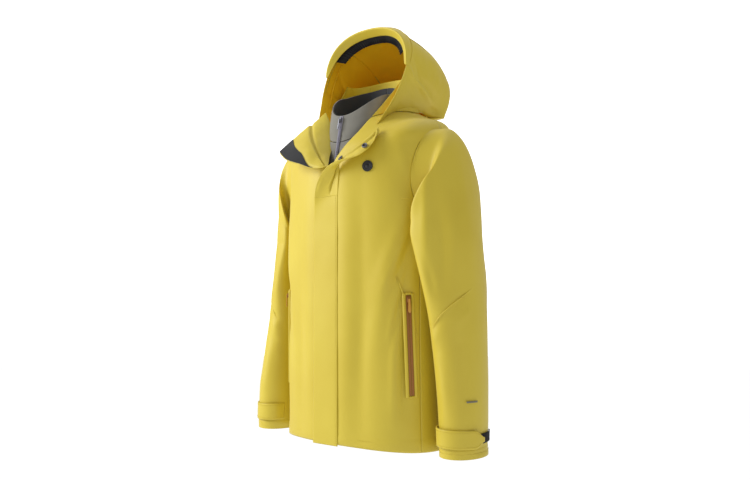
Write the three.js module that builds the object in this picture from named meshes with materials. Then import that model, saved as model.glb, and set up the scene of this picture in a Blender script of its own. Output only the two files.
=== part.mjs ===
// Hardshell jacket with a sleeveless zip-in liner, as its sewn and moulded pieces.
// Millimetres, +Z up, front towards -Y, wearer's left towards +X. Heights are measured
// from the front hem while building; the whole group is then moved so that the seat of
// the hanger loop, in the back neck, is the origin.
import * as THREE from 'three';

// ---------- driving dimensions ----------
const CLOTH = 1.2;                 // shell cloth with its facing
const LINER_CLOTH = 1.6;
const SEAM_DEG = 0.25;             // half of the gap between two panels round the body
const YOKE_POS = 2.74;             // ring position of the chest yoke seam
const BACK_YOKE_POS = 3.3;
const SEAM_POS = 0.01;             // half of the gap along the rings
const SIDE_FRONT_DEG = 68;
const SIDE_BACK_DEG = 112;
const ARMHOLE = { mid: 3.09, half: 0.92, deg: 30 };
const V_START = 3.35;              // ring position where the front starts to open
const V_END_DEG = 37;
const NECK_POS = 6;

// Rings of the shell, hem to neck: half width, then y and z at the side, front and back.
const SHELL = [
  { half: 202, sideY: 0, sideZ: -4, frontY: -150, frontZ: 6, backY: 140, backZ: -14, power: 2.4 },
  { half: 197, sideY: 0, sideZ: 230, frontY: -150, frontZ: 230, backY: 138, backZ: 230, power: 2.4 },
  { half: 200, sideY: 0, sideZ: 440, frontY: -150, frontZ: 440, backY: 138, backZ: 440, power: 2.4 },
  { half: 198, sideY: 0, sideZ: 560, frontY: -150, frontZ: 560, backY: 134, backZ: 565, power: 2.4 },
  { half: 190, sideY: 2, sideZ: 676, frontY: -140, frontZ: 632, backY: 120, backZ: 668, power: 2.4 },
  { half: 140, sideY: 25, sideZ: 708, frontY: -118, frontZ: 672, backY: 104, backZ: 718, power: 2.3 },
  { half: 96, sideY: 38, sideZ: 730, frontY: -98, frontZ: 700, backY: 90, backZ: 744, power: 2.3 },
];
const LINER = [
  { half: 184, sideY: 0, sideZ: 20, frontY: -133, frontZ: 20, backY: 123, backZ: 20, power: 2.4 },
  { half: 180, sideY: 0, sideZ: 230, frontY: -133, frontZ: 230, backY: 121, backZ: 230, power: 2.4 },
  { half: 182, sideY: 0, sideZ: 440, frontY: -133, frontZ: 440, backY: 121, backZ: 440, power: 2.4 },
  { half: 178, sideY: 0, sideZ: 560, frontY: -133, frontZ: 560, backY: 116, backZ: 560, power: 2.4 },
  { half: 168, sideY: 2, sideZ: 655, frontY: -122.6, frontZ: 612, backY: 102, backZ: 648, power: 2.4 },
  { half: 124, sideY: 16, sideZ: 686, frontY: -117, frontZ: 640, backY: 82, backZ: 698, power: 2.3 },
  { half: 79, sideY: 8, sideZ: 702, frontY: -113.8, frontZ: 656, backY: 62, backZ: 728, power: 2.2 },
];
const LINER_COLLAR_TOP = {
  half: 69, sideY: -20, sideZ: 762, frontY: -102, frontZ: 715, backY: 56, backZ: 800, power: 2.2,
};
const SHELL_COLLAR_TOP = {
  half: 92, sideY: 30, sideZ: 810, frontY: -40, frontZ: 800, backY: 80, backZ: 822, power: 2.2,
};

// Rings of a left sleeve below the armhole: inner and outer edge, then y, half depth and
// how far the front of the ring swells in towards the chest.
const SLEEVE_HEAD = [
  { inX: 202, inZ: 457, outX: 220, outZ: 678, y: -2, depth: 87, swell: 0 },
  { inX: 203, inZ: 454, outX: 244, outZ: 650, y: -6, depth: 88, swell: 8 },
  { inX: 204, inZ: 450, outX: 258, outZ: 592, y: -12, depth: 90, swell: 20 },
  { inX: 204, inZ: 446, outX: 273, outZ: 518, y: -18, depth: 90, swell: 36 },
];
const SLEEVE_TUBE = [
  { z: 438, x: 236, out: 50, in: 32, y: -22, depth: 90, swell: 34 },
  { z: 350, x: 240, out: 50, in: 36, y: -15, depth: 88, swell: 14 },
  { z: 256, x: 250, out: 48, in: 42, y: -14, depth: 76, swell: 8 },
  { z: 100, x: 258, out: 48, in: 45, y: -14, depth: 65, swell: 0 },
  { z: -4, x: 260, out: 46, in: 44, y: -15, depth: 60, swell: 0 },
];
// The right arm hangs a little further forward at the cuff, and further back above.
const RIGHT_LEAN = [
  { z: 600, y: 10 }, { z: 438, y: 28 }, { z: 350, y: 22 },
  { z: 256, y: 14 }, { z: 100, y: -14 }, { z: -4, y: -20 },
];
const SLEEVE_SEAM_DEG = 0.3;       // half of the gap at each lengthwise sleeve seam
const ELBOW = { z: 300, slope: 0.45, y: -14.5 };   // the cut rises towards the back

// Hood arches, rim to nape: base and top of each arch, its half width.
const HOOD = [
  { baseY: -80, baseZ: 707, topY: 14, topZ: 933, half: 117 },
  { baseY: -40, baseZ: 720, topY: 82, topZ: 913, half: 121 },
  { baseY: 14, baseZ: 732, topY: 138, topZ: 882, half: 123 },
  { baseY: 68, baseZ: 736, topY: 184, topZ: 826, half: 121 },
  { baseY: 100, baseZ: 734, topY: 198, topZ: 748, half: 116 },
];
const ARCH = { height: 1 / 3, width: 1 / 1.1, tall: 1.9 };   // bluntness, height over half width
const BRIM_DEPTH = 26;
const CROWN_HALF = 0.17;           // share of an arch's length on each side of its middle

const ZIP_TOP = 578;
const ZIP_EDGE_DEG = 1.05;         // where a front panel's edge runs beside the zip
const FLAP = { half: 35, outer: -160, inner: -158.2, top: 536, hem: 4 };
const POCKET = { topPos: 1.42, bottomPos: 0.56, topDeg: 57.6, bottomDeg: 60.4 };
const TAB = { from: 150, to: 0, low: 19, high: 57, out: 5.2, thick: 1.4 };
const HOOK_PAD = { from: 22, to: 4, low: 28, high: 44, out: 3.8, thick: 0.9 };
const LOOP_PATCH = { from: 24, to: -50, low: 26, high: 46, out: 2.2, thick: 1 };
const BADGE_RADIUS = 13;
const SNAP_RADIUS = 6;
const ORIGIN = { y: 76, z: 757 };  // seat of the hanger loop

// ---------- small tools ----------
const rad = THREE.MathUtils.degToRad;
const mix = THREE.MathUtils.lerp;
const clamp = THREE.MathUtils.clamp;
const v3 = (x, y, z) => new THREE.Vector3(x, y, z);

function spline(list, pos) {
  const i = clamp(Math.floor(pos), 0, list.length - 2);
  const f = pos - i;
  const at = (k) => list[clamp(k, 0, list.length - 1)];
  const [a, b, c, d] = [at(i - 1), at(i), at(i + 1), at(i + 2)];
  const square = 2 * a - 5 * b + 4 * c - d;
  const cube = 3 * b - a - 3 * c + d;
  return 0.5 * (2 * b + (c - a) * f + square * f * f + cube * f * f * f);
}

function splineRow(rows, pos) {
  const row = {};
  for (const key of Object.keys(rows[0])) row[key] = spline(rows.map((r) => r[key]), pos);
  return row;
}

function splinePoint(points, pos) {
  return v3(...['x', 'y', 'z'].map((k) => spline(points.map((p) => p[k]), pos)));
}

// A point on a ring. Degrees run from the front centre towards the wearer's left.
function onRing(r, deg) {
  const s = Math.sin(rad(deg));
  const c = Math.cos(rad(deg));
  const pull = Math.abs(c) ** (2 / r.power);
  const end = c >= 0 ? { y: r.frontY, z: r.frontZ } : { y: r.backY, z: r.backZ };
  const x = r.half * Math.sign(s) * Math.abs(s) ** (2 / r.power);
  return v3(x, mix(r.sideY, end.y, pull), mix(r.sideZ, end.z, c * c));
}

const shellAt = (deg, pos) => onRing(splineRow(SHELL, pos), deg);
const linerAt = (deg, pos) => onRing(splineRow(LINER, pos), deg);

function normalOf(f, u, v) {
  const e = 0.004;
  const du = f(Math.min(u + e, 1), v).sub(f(Math.max(u - e, 0), v));
  const dv = f(u, Math.min(v + e, 1)).sub(f(u, Math.max(v - e, 0)));
  return du.cross(dv).normalize();
}

function closedGeometry(points, index) {
  let volume = 0;
  for (let i = 0; i < index.length; i += 3) {
    const [a, b, c] = [points[index[i]], points[index[i + 1]], points[index[i + 2]]];
    volume += a.dot(b.clone().cross(c));
  }
  if (volume < 0) index.reverse();
  const geometry = new THREE.BufferGeometry();
  geometry.setAttribute('position', new THREE.Float32BufferAttribute(points.flatMap((p) => p.toArray()), 3));
  geometry.setIndex(index);
  geometry.computeVertexNormals();
  return geometry;
}

// A sheet of even thickness on the surface f(u, v), on the side against its normal.
function sheet(f, nu, nv, thickness, lift = 0) {
  const points = [];
  for (const side of [0, 1]) {
    for (let j = 0; j <= nv; j++) {
      for (let i = 0; i <= nu; i++) {
        const [u, v] = [i / nu, j / nv];
        points.push(f(u, v).addScaledVector(normalOf(f, u, v), lift - side * thickness));
      }
    }
  }
  const row = nu + 1;
  const layer = row * (nv + 1);
  const index = [];
  const quad = (a, b, c, d) => index.push(a, b, c, a, c, d);
  for (let j = 0; j < nv; j++) {
    for (let i = 0; i < nu; i++) {
      const k = j * row + i;
      quad(k, k + 1, k + row + 1, k + row);
      quad(layer + k, layer + k + row, layer + k + row + 1, layer + k + 1);
    }
  }
  const rim = [];
  for (let i = 0; i < nu; i++) rim.push(i);
  for (let j = 0; j < nv; j++) rim.push(j * row + nu);
  for (let i = nu; i > 0; i--) rim.push(nv * row + i);
  for (let j = nv; j > 0; j--) rim.push(j * row);
  rim.forEach((a, k) => {
    const b = rim[(k + 1) % rim.length];
    quad(b, a, a + layer, b + layer);
  });
  return closedGeometry(points, index);
}

// A tube with a wall: f(u, v) is its outside, with u from 0 to 1 round it.
function tube(f, nu, nv, wall) {
  const points = [];
  for (const side of [0, 1]) {
    for (let j = 0; j <= nv; j++) {
      const ring = Array.from({ length: nu }, (_, i) => f(i / nu, j / nv));
      const middle = ring.reduce((sum, p) => sum.add(p), v3(0, 0, 0)).divideScalar(nu);
      for (const p of ring) {
        const inward = middle.clone().sub(p).normalize();
        points.push(p.addScaledVector(inward, side * wall));
      }
    }
  }
  const layer = nu * (nv + 1);
  const index = [];
  const quad = (a, b, c, d) => index.push(a, b, c, a, c, d);
  for (let i = 0; i < nu; i++) {
    const n = (i + 1) % nu;
    for (let j = 0; j < nv; j++) {
      const [k, m] = [j * nu + i, j * nu + n];
      quad(k, m, m + nu, k + nu);
      quad(layer + k, layer + k + nu, layer + m + nu, layer + m);
    }
    quad(n, i, layer + i, layer + n);
    const last = nv * nu;
    quad(last + i, last + n, layer + last + n, layer + last + i);
  }
  return closedGeometry(points, index);
}

function mirrored(f) {
  return (u, v) => {
    const p = f(u, v);
    p.x = -p.x;
    return p;
  };
}

function block(x0, x1, y0, y1, z0, z1) {
  const geometry = new THREE.BoxGeometry(x1 - x0, y1 - y0, z1 - z0);
  geometry.translate((x0 + x1) / 2, (y0 + y1) / 2, (z0 + z1) / 2);
  return geometry;
}

// An outline in the x-y plane, extruded up from z0 to z1.
function pillar(outline, z0, z1) {
  const shape = new THREE.Shape(outline.map(([x, y]) => new THREE.Vector2(x, y)));
  const geometry = new THREE.ExtrudeGeometry(shape, { depth: z1 - z0, bevelEnabled: false });
  geometry.translate(0, 0, z0);
  return geometry;
}

// ---------- materials ----------
const COLOURS = {
  shell: [0xe6d64a, 0.55, 0], facing: [0xd9a51e, 0.6, 0], lapel: [0xdccb3c, 0.6, 0],
  charcoal: [0x2b2c2e, 0.8, 0], grip: [0x1a1a1c, 0.9, 0], liner: [0x85847f, 0.9, 0],
  coil: [0x9a98a8, 0.5, 0], ochre: [0x9a6420, 0.5, 0], puller: [0xc98d2b, 0.45, 0],
  metal: [0xb9bcc0, 0.3, 1], rubber: [0x161618, 0.6, 0],
};

const jacket = new THREE.Group();
const model = new THREE.Group();
jacket.add(model);

function put(name, slot, geometry) {
  const [color, roughness, metalness] = COLOURS[slot];
  const mesh = new THREE.Mesh(geometry, new THREE.MeshStandardMaterial({ color, roughness, metalness }));
  mesh.name = name;
  model.add(mesh);
  return mesh;
}

const SIDES = [['left', 1], ['right', -1]];
const onSide = (sign, f) => (sign > 0 ? f : mirrored(f));

// ---------- shell body ----------
const armholeDeg = (pos) => {
  const k = (pos - ARMHOLE.mid) / ARMHOLE.half;
  return Math.abs(k) >= 1 ? 0 : ARMHOLE.deg * Math.sqrt(1 - k * k);
};
const vDeg = (pos) => {
  const k = clamp((pos - V_START) / (NECK_POS - V_START), 0, 1);
  return ZIP_EDGE_DEG + (V_END_DEG - ZIP_EDGE_DEG) * k ** 1.35;
};
const shoulderFree = (pos) => (pos > ARMHOLE.mid ? 90 : SIDE_FRONT_DEG);
const frontLimit = (pos) => Math.min(shoulderFree(pos), 90 - armholeDeg(pos)) - SEAM_DEG;
const backLimit = (pos) => Math.max(180 - shoulderFree(pos), 90 + armholeDeg(pos)) + SEAM_DEG;

function band(surface, low, high, from, to) {
  return (u, v) => {
    const pos = mix(low, high, v);
    return surface(mix(from(pos), to(pos), u), pos);
  };
}

function addFronts() {
  for (const [side, sign] of SIDES) {
    const front = band(shellAt, 0, YOKE_POS - SEAM_POS, vDeg, frontLimit);
    const yoke = band(shellAt, YOKE_POS + SEAM_POS, NECK_POS, vDeg, frontLimit);
    put(`${side}_front_panel`, 'shell', sheet(onSide(sign, front), 8, 8, sign * CLOTH));
    put(`${side}_chest_yoke`, 'shell', sheet(onSide(sign, yoke), 7, 10, sign * CLOTH));
    const top = (deg) => {
      const k = (deg - 90) / ARMHOLE.deg;
      return ARMHOLE.mid - ARMHOLE.half * Math.sqrt(1 - k * k);
    };
    const panel = (u, v) => {
      const deg = mix(SIDE_FRONT_DEG + SEAM_DEG, SIDE_BACK_DEG - SEAM_DEG, u);
      return shellAt(deg, mix(0, top(deg), v));
    };
    put(`${side}_side_panel`, 'shell', sheet(onSide(sign, panel), 5, 6, sign * CLOTH));
  }
}

function addBack() {
  const mirrorLimit = (pos) => 360 - backLimit(pos);
  const panel = band(shellAt, 0, BACK_YOKE_POS - SEAM_POS, backLimit, mirrorLimit);
  const yoke = band(shellAt, BACK_YOKE_POS + SEAM_POS, NECK_POS, backLimit, mirrorLimit);
  put('back_panel', 'shell', sheet(panel, 14, 9, CLOTH));
  put('back_yoke', 'shell', sheet(yoke, 14, 7, CLOTH));
}

// ---------- sleeves ----------
const swollen = (row, turn) => row.swell * Math.max(Math.sin(turn), 0) ** 2;

function headPoint(row, turn) {
  const c = Math.cos(turn);
  const x = (row.inX + row.outX) / 2 + (row.outX - row.inX) / 2 * c - swollen(row, turn);
  const z = (row.inZ + row.outZ) / 2 + (row.outZ - row.inZ) / 2 * c;
  return v3(x, row.y - row.depth * Math.sin(turn), z);
}

function tubePoint(row, turn) {
  const c = Math.cos(turn);
  const x = row.x + c * (c > 0 ? row.out : row.in) - swollen(row, turn);
  return v3(x, row.y - row.depth * Math.sin(turn), row.z);
}

function armholePoint(turn) {
  const deg = 90 - (ARMHOLE.deg + SEAM_DEG) * Math.sin(turn);
  const p = shellAt(deg, ARMHOLE.mid + ARMHOLE.half * Math.cos(turn));
  return p.add(v3(2.2, 0, 0));
}

// How far an arm stands back of its plain rings at height z.
function lean(sign, z) {
  if (sign > 0) return 0;
  const i = RIGHT_LEAN.findIndex((r) => r.z <= z);
  if (i === 0) return RIGHT_LEAN[0].y;
  const [high, low] = [RIGHT_LEAN.at(i - 1), RIGHT_LEAN.at(i)];
  return mix(low.y, high.y, clamp((z - low.z) / (high.z - low.z), 0, 1));
}

const LAST_HEAD = SLEEVE_HEAD.length;
const sleeveEnd = LAST_HEAD + SLEEVE_TUBE.length;
function sleeveAt(sign, turn, pos) {
  const rings = [armholePoint(turn)];
  for (const row of SLEEVE_HEAD) rings.push(headPoint(row, turn));
  for (const row of SLEEVE_TUBE) rings.push(tubePoint(row, turn));
  const p = splinePoint(rings, pos);
  p.y += lean(sign, p.z) * clamp(pos / LAST_HEAD, 0, 1);
  return p;
}

// Ring position at which the sleeve meets the elbow's cut, found by halving.
function elbowPos(sign, turn, shift) {
  let [low, high] = [LAST_HEAD + 1, sleeveEnd];
  for (let i = 0; i < 22; i++) {
    const pos = (low + high) / 2;
    const p = sleeveAt(sign, turn, pos);
    const cut = ELBOW.z + shift + ELBOW.slope * (p.y - ELBOW.y - lean(sign, ELBOW.z));
    if (p.z > cut) low = pos; else high = pos;
  }
  return (low + high) / 2;
}

function addSleeves() {
  for (const [side, sign] of SIDES) {
    // Half of the upper sleeve, from one lengthwise seam to the other.
    const upper = (from, to) => (u, v) => {
      const turn = rad(mix(from, to, u));
      return sleeveAt(sign, turn, v * elbowPos(sign, turn, 0.6));
    };
    const fore = (u, v) => {
      const turn = u * Math.PI * 2;
      return sleeveAt(sign, turn, mix(elbowPos(sign, turn, -0.6), sleeveEnd, v));
    };
    const half = (from, to) => sheet(onSide(sign, upper(from, to)), 10, 9, sign * CLOTH);
    put(`${side}_sleeve_front`, 'shell', half(SLEEVE_SEAM_DEG, 180 - SLEEVE_SEAM_DEG));
    put(`${side}_sleeve_back`, 'shell', half(180 + SLEEVE_SEAM_DEG, 360 - SLEEVE_SEAM_DEG));
    put(`${side}_forearm`, 'shell', tube(onSide(sign, fore), 18, 6, CLOTH));
  }
}

function cuffAt(sign, turnDeg, z, out) {
  const rows = SLEEVE_TUBE.slice(-2);
  const k = (z - rows[1].z) / (rows[0].z - rows[1].z);
  const row = {};
  for (const key of Object.keys(rows[0])) row[key] = mix(rows[1][key], rows[0][key], k);
  row.out += out;
  row.in += out;
  row.depth += out;
  row.y += lean(sign, z);
  return tubePoint(row, rad(turnDeg));
}

function addCuffs() {
  for (const [side, sign] of SIDES) {
    // A strip round the cuff over some degrees, between two heights, standing out from the sleeve.
    const strip = ({ from, to, low, high, out, thick }, nu, nv) => {
      const face = (u, v) => cuffAt(sign, mix(from, to, u), mix(low, high, v), out);
      return sheet(onSide(sign, face), nu, nv, -sign * thick);
    };
    put(`${side}_cuff_loop_patch`, 'grip', strip(LOOP_PATCH, 6, 1));
    put(`${side}_cuff_hook_pad`, 'charcoal', strip(HOOK_PAD, 2, 1));
    put(`${side}_cuff_tab`, 'shell', strip(TAB, 12, 2));
  }
}

// ---------- collar, hood ----------
const shellNeck = SHELL[SHELL.length - 1];
const linerNeck = LINER[LINER.length - 1];
function collarAt(base, top, deg, k) {
  return onRing(base, deg).lerp(onRing(top, deg), k).add(v3(0, 0, 1.5));
}

function addShellCollar() {
  const edge = (k) => mix(V_END_DEG, 72, k);
  const left = (u, v) => collarAt(shellNeck, SHELL_COLLAR_TOP, mix(edge(v), 139, u), v);
  const back = (u, v) => collarAt(shellNeck, SHELL_COLLAR_TOP, mix(140, 220, u), v);
  const right = (u, v) => collarAt(shellNeck, SHELL_COLLAR_TOP, mix(221, 360 - edge(v) - 8, u), v);
  put('left_collar', 'facing', sheet(left, 8, 4, CLOTH));
  put('back_collar', 'facing', sheet(back, 6, 4, CLOTH));
  put('right_collar', 'facing', sheet(right, 8, 4, CLOTH));
}

// Even steps round an arch: a blunt arch whose height share is share and width is w.
function archOutline() {
  const fine = 400;
  const points = [];
  for (let i = 0; i <= fine; i++) {
    const a = rad(mix(-90, 90, i / fine));
    const h = Math.cos(a) ** ARCH.height;
    const w = Math.sign(a) * Math.abs(Math.sin(a)) ** ARCH.width;
    points.push({ w, h: Math.abs(a) >= rad(89.99) ? 0 : h });
  }
  const run = [0];
  for (let i = 1; i <= fine; i++) {
    const [a, b] = [points[i - 1], points[i]];
    run.push(run[i - 1] + Math.hypot(b.w - a.w, (b.h - a.h) * ARCH.tall));
  }
  return (share) => {
    const want = share * run[fine];
    const i = Math.max(1, run.findIndex((r) => r >= want));
    const k = (want - run[i - 1]) / (run[i] - run[i - 1] || 1);
    return { w: mix(points[i - 1].w, points[i].w, k), h: mix(points[i - 1].h, points[i].h, k) };
  };
}

const archShape = archOutline();
function hoodAt(share, pos) {
  const row = splineRow(HOOD, pos);
  const { w, h } = archShape(clamp(share, 0, 1));
  const tuck = 1 - 0.17 * (1 - h) ** 4;
  return v3(w * row.half * tuck, mix(row.baseY, row.topY, h), mix(row.baseZ, row.topZ, h));
}

function addHood() {
  const end = HOOD.length - 1;
  const gap = 0.004;
  const low = 0.5 - CROWN_HALF;
  const high = 0.5 + CROWN_HALF;
  const panel = (from, to) => (u, v) => hoodAt(mix(from, to, u), mix(0.02, end, v));
  put('hood_crown', 'shell', sheet(panel(low + gap, high - gap), 6, 10, CLOTH));
  put('hood_left_side', 'shell', sheet(panel(high + gap, 1), 8, 10, CLOTH));
  put('hood_right_side', 'shell', sheet(panel(0, low - gap), 8, 10, CLOTH));
  const neck = (u, v) => {
    const deg = mix(104, 256, u);
    const inner = onRing({ ...shellNeck, half: 104, sideY: 60, backY: 98, sideZ: 726, backZ: 736 }, deg);
    const share = mix(0.97, 0.03, u);
    const outer = hoodAt(share, end).multiply(v3(0.93, 1, 1)).add(v3(0, -3, -6));
    return inner.lerp(outer, v);
  };
  put('hood_neck_panel', 'shell', sheet(neck, 12, 3, -CLOTH));
  const brim = (u, v) => {
    const share = mix(0.2, 0.8, u);
    const reach = BRIM_DEPTH * Math.sin(Math.PI * u) ** 0.6;
    return hoodAt(share, 0).add(v3(0, -1.2 - reach * v, -0.2 * reach * v));
  };
  put('hood_brim', 'shell', sheet(brim, 14, 2, -1.8));
  const grip = (u, v) => {
    const share = mix(0.27, 0.73, u);
    const p = hoodAt(share, 0);
    const middle = v3(0, p.y, 840);
    return p.lerp(middle, 0.085).add(v3(0, 4 + 14 * v, -1));
  };
  put('hood_grip_strip', 'grip', sheet(grip, 12, 1, 1.6));
}

// ---------- front closing ----------
function addMainZip() {
  for (const [side, sign] of SIDES) {
    const outline = [[0.4, -146.4], [14, -146.4], [14, -147.6], [2.6, -147.6], [2.6, -149.6], [0.4, -149.6]];
    const placed = outline.map(([x, y]) => [sign * x, y]);
    put(`${side}_main_zip_tape`, 'charcoal', pillar(placed, 4, ZIP_TOP - 10));
  }
  const body = [[-5, -148.6], [-5, -153.4], [5, -153.4], [5, -148.6], [3.4, -148.6], [3.4, -151.6],
    [-3.4, -151.6], [-3.4, -148.6]];
  put('main_zip_slider', 'metal', pillar(body, ZIP_TOP - 30, ZIP_TOP - 13));
  put('main_zip_puller', 'charcoal', block(-3.5, 3.5, -155.6, -154, ZIP_TOP - 52, ZIP_TOP - 18));
}

function addFlap() {
  put('storm_flap', 'shell', block(-FLAP.half, FLAP.half, FLAP.outer, FLAP.inner, FLAP.hem, FLAP.top));
}

// A turned-out strip between a roll line along the front edge and a free edge.
function lapelSurface(free, sign, rollFrom, rollTo, startDeg) {
  return (u, v) => {
    const pos = mix(rollFrom, rollTo, v);
    const deg = mix(startDeg, vDeg(pos) + 2.5, clamp(v * 2.2, 0, 1));
    const roll = shellAt(deg, pos);
    roll.x *= sign;
    const out = v3(0, -9, 3);
    const edge = splinePoint(free, v * (free.length - 1));
    const belly = Math.sin(Math.PI * u) * 7;
    return roll.add(out).lerp(edge, u).add(v3(0, -belly, 0));
  };
}

const LEFT_FREE = [v3(-33, -159.5, 540), v3(-8, -169, 582), v3(22, -174, 603), v3(50, -171, 613),
  v3(88, -160, 626), v3(103, -145, 640), v3(108, -128, 656), v3(100, -112, 674)];
const RIGHT_FREE = [v3(-9, -162, 590), v3(-31, -164, 610), v3(-84, -168, 624), v3(-140, -162, 648),
  v3(-130, -126, 668), v3(-96, -112, 682)];
const leftLapel = lapelSurface(LEFT_FREE, 1, 2.9, 5.1, 9.5);
const rightLapel = lapelSurface(RIGHT_FREE, -1, 3.35, 5.0, 4);

function discOn(f, u, v, radius, height, lift) {
  const normal = normalOf(f, u, v);
  if (normal.y > 0) normal.negate();
  const geometry = new THREE.CylinderGeometry(radius, radius, height, 20);
  geometry.applyQuaternion(new THREE.Quaternion().setFromUnitVectors(v3(0, 1, 0), normal));
  const at = f(u, v).addScaledVector(normal, lift + height / 2);
  return geometry.translate(at.x, at.y, at.z);
}

function addLapels() {
  put('left_lapel', 'lapel', sheet(leftLapel, 5, 9, 1.4));
  put('right_lapel', 'lapel', sheet(rightLapel, 5, 9, -1.4));
  const guard = (u, v) => rightLapel(mix(0.45, 0.97, u), mix(0.36, 0.8, v));
  put('chin_guard', 'charcoal', sheet(guard, 4, 5, -1, 3.4));
  put('lower_snap_socket', 'metal', discOn(leftLapel, 0.5, 0.47, SNAP_RADIUS, 2.4, 2));
  put('upper_snap_socket', 'metal', discOn(leftLapel, 0.72, 0.73, SNAP_RADIUS, 2.4, 2));
  const yoke = (u, v) => shellAt(-mix(0, 60, u), mix(YOKE_POS, NECK_POS, v));
  put('lower_snap_stud', 'metal', discOn(yoke, 0.16, 0.42, SNAP_RADIUS - 1, 2, 0.6));
  put('upper_snap_stud', 'metal', discOn(yoke, 0.3, 0.62, SNAP_RADIUS - 1, 2, 0.6));
}

// ---------- pockets, badge, loop ----------
const pocketLine = (k) => ({
  deg: mix(POCKET.bottomDeg, POCKET.topDeg, k), pos: mix(POCKET.bottomPos, POCKET.topPos, k),
});
function pocketFrame() {
  const [low, high] = [0, 1].map((k) => shellAt(pocketLine(k).deg, pocketLine(k).pos));
  const along = high.clone().sub(low).normalize();
  const mid = pocketLine(0.5);
  const across = shellAt(mid.deg + 3, mid.pos).sub(shellAt(mid.deg - 3, mid.pos)).normalize();
  across.addScaledVector(along, -across.dot(along)).normalize();
  const out = across.clone().cross(along).normalize();
  const matrix = new THREE.Matrix4().makeBasis(across.negate(), out, along);
  matrix.setPosition(low);
  return { matrix, length: high.distanceTo(low) };
}

function addPockets() {
  const { matrix, length } = pocketFrame();
  const placed = (geometry, sign) => {
    geometry.applyMatrix4(matrix);
    if (sign < 0) {
      geometry.scale(-1, 1, 1);
      const index = geometry.index.array;
      for (let i = 0; i < index.length; i += 3) [index[i], index[i + 1]] = [index[i + 1], index[i]];
    }
    return geometry;
  };
  for (const [side, sign] of SIDES) {
    put(`${side}_pocket_zip`, 'ochre', placed(block(-8, 8, 4, 5.2, 0, length), sign));
    put(`${side}_pocket_slider`, 'ochre', placed(block(-4, 4, 6, 9, length - 14, length - 4), sign));
    put(`${side}_pocket_puller`, 'puller', placed(block(-3, 3, 9.6, 11.2, length - 36, length - 7), sign));
    const bag = (u, v) => shellAt(mix(26, 62, u), mix(0.28, 1.6, v));
    put(`${side}_pocket_bag`, 'facing', sheet(onSide(sign, bag), 5, 5, sign * 2.4, -sign * 4));
  }
}

function addTrim() {
  const chest = (u, v) => shellAt(mix(10, 60, u), mix(YOKE_POS, NECK_POS, v));
  put('chest_badge', 'rubber', discOn(chest, 0.33, 0.195, BADGE_RADIUS, 1.6, 1.2));
  const outline = [[-30, -20], [-22, -20], [-22, -8], [22, -8], [22, -20], [30, -20], [30, 0], [-30, 0]];
  const loop = new THREE.Shape(outline.map(([x, z]) => new THREE.Vector2(x, z)));
  const strap = new THREE.ExtrudeGeometry(loop, { depth: 3, bevelEnabled: false });
  strap.rotateX(Math.PI / 2);
  strap.translate(0, ORIGIN.y + 1.5, ORIGIN.z + 8);
  put('hanger_loop', 'charcoal', strap);
}

// ---------- liner ----------
function addLiner() {
  const free = (pos) => 90 - armholeDeg(pos);
  const front = (pos) => (pos < ARMHOLE.mid - ARMHOLE.half ? 90 : free(pos)) - 0.3;
  const centre = (pos) => 2.6 / (0.35 + 0.65 * splineRow(LINER, pos).half / 184);
  for (const [side, sign] of SIDES) {
    const panel = band(linerAt, 0, NECK_POS, centre, front);
    put(`liner_${side}_front`, 'liner', sheet(onSide(sign, panel), 7, 14, sign * LINER_CLOTH));
    const collar = (u, v) => collarAt(linerNeck, LINER_COLLAR_TOP, mix(4.2, 179.6, u), v);
    put(`liner_${side}_collar`, 'liner', sheet(onSide(sign, collar), 12, 3, sign * LINER_CLOTH));
  }
  const back = band(linerAt, 0, NECK_POS, (pos) => 180 - front(pos), (pos) => 180 + front(pos));
  put('liner_back', 'liner', sheet(back, 12, 14, LINER_CLOTH));
}

function addLinerZip() {
  const low = v3(0, -133, 560);
  const high = v3(0, LINER_COLLAR_TOP.frontY, LINER_COLLAR_TOP.frontZ);
  const lean = Math.atan2(high.y - low.y, high.z - low.z);
  const length = high.distanceTo(low);
  const placed = (geometry) => {
    geometry.rotateX(-lean);
    return geometry.translate(low.x, low.y, low.z);
  };
  for (const [side, sign] of SIDES) {
    const [near, far] = sign > 0 ? [0.4, 3.4] : [-3.4, -0.4];
    put(`liner_${side}_zip_tape`, 'coil', placed(block(near, far, -3.4, 0.6, 0, length)));
  }
  put('liner_zip_slider', 'coil', placed(block(-4.4, 4.4, -7.6, -4, length - 16, length - 4)));
  put('liner_zip_puller', 'metal', placed(block(-2.4, 2.4, -9.8, -8.2, length - 34, length - 8)));
}

addFronts();
addBack();
addSleeves();
addCuffs();
addShellCollar();
addHood();
addMainZip();
addFlap();
addLapels();
addPockets();
addTrim();
addLiner();
addLinerZip();
model.position.set(0, -ORIGIN.y, -ORIGIN.z);

export default jacket;
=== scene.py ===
import math

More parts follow.
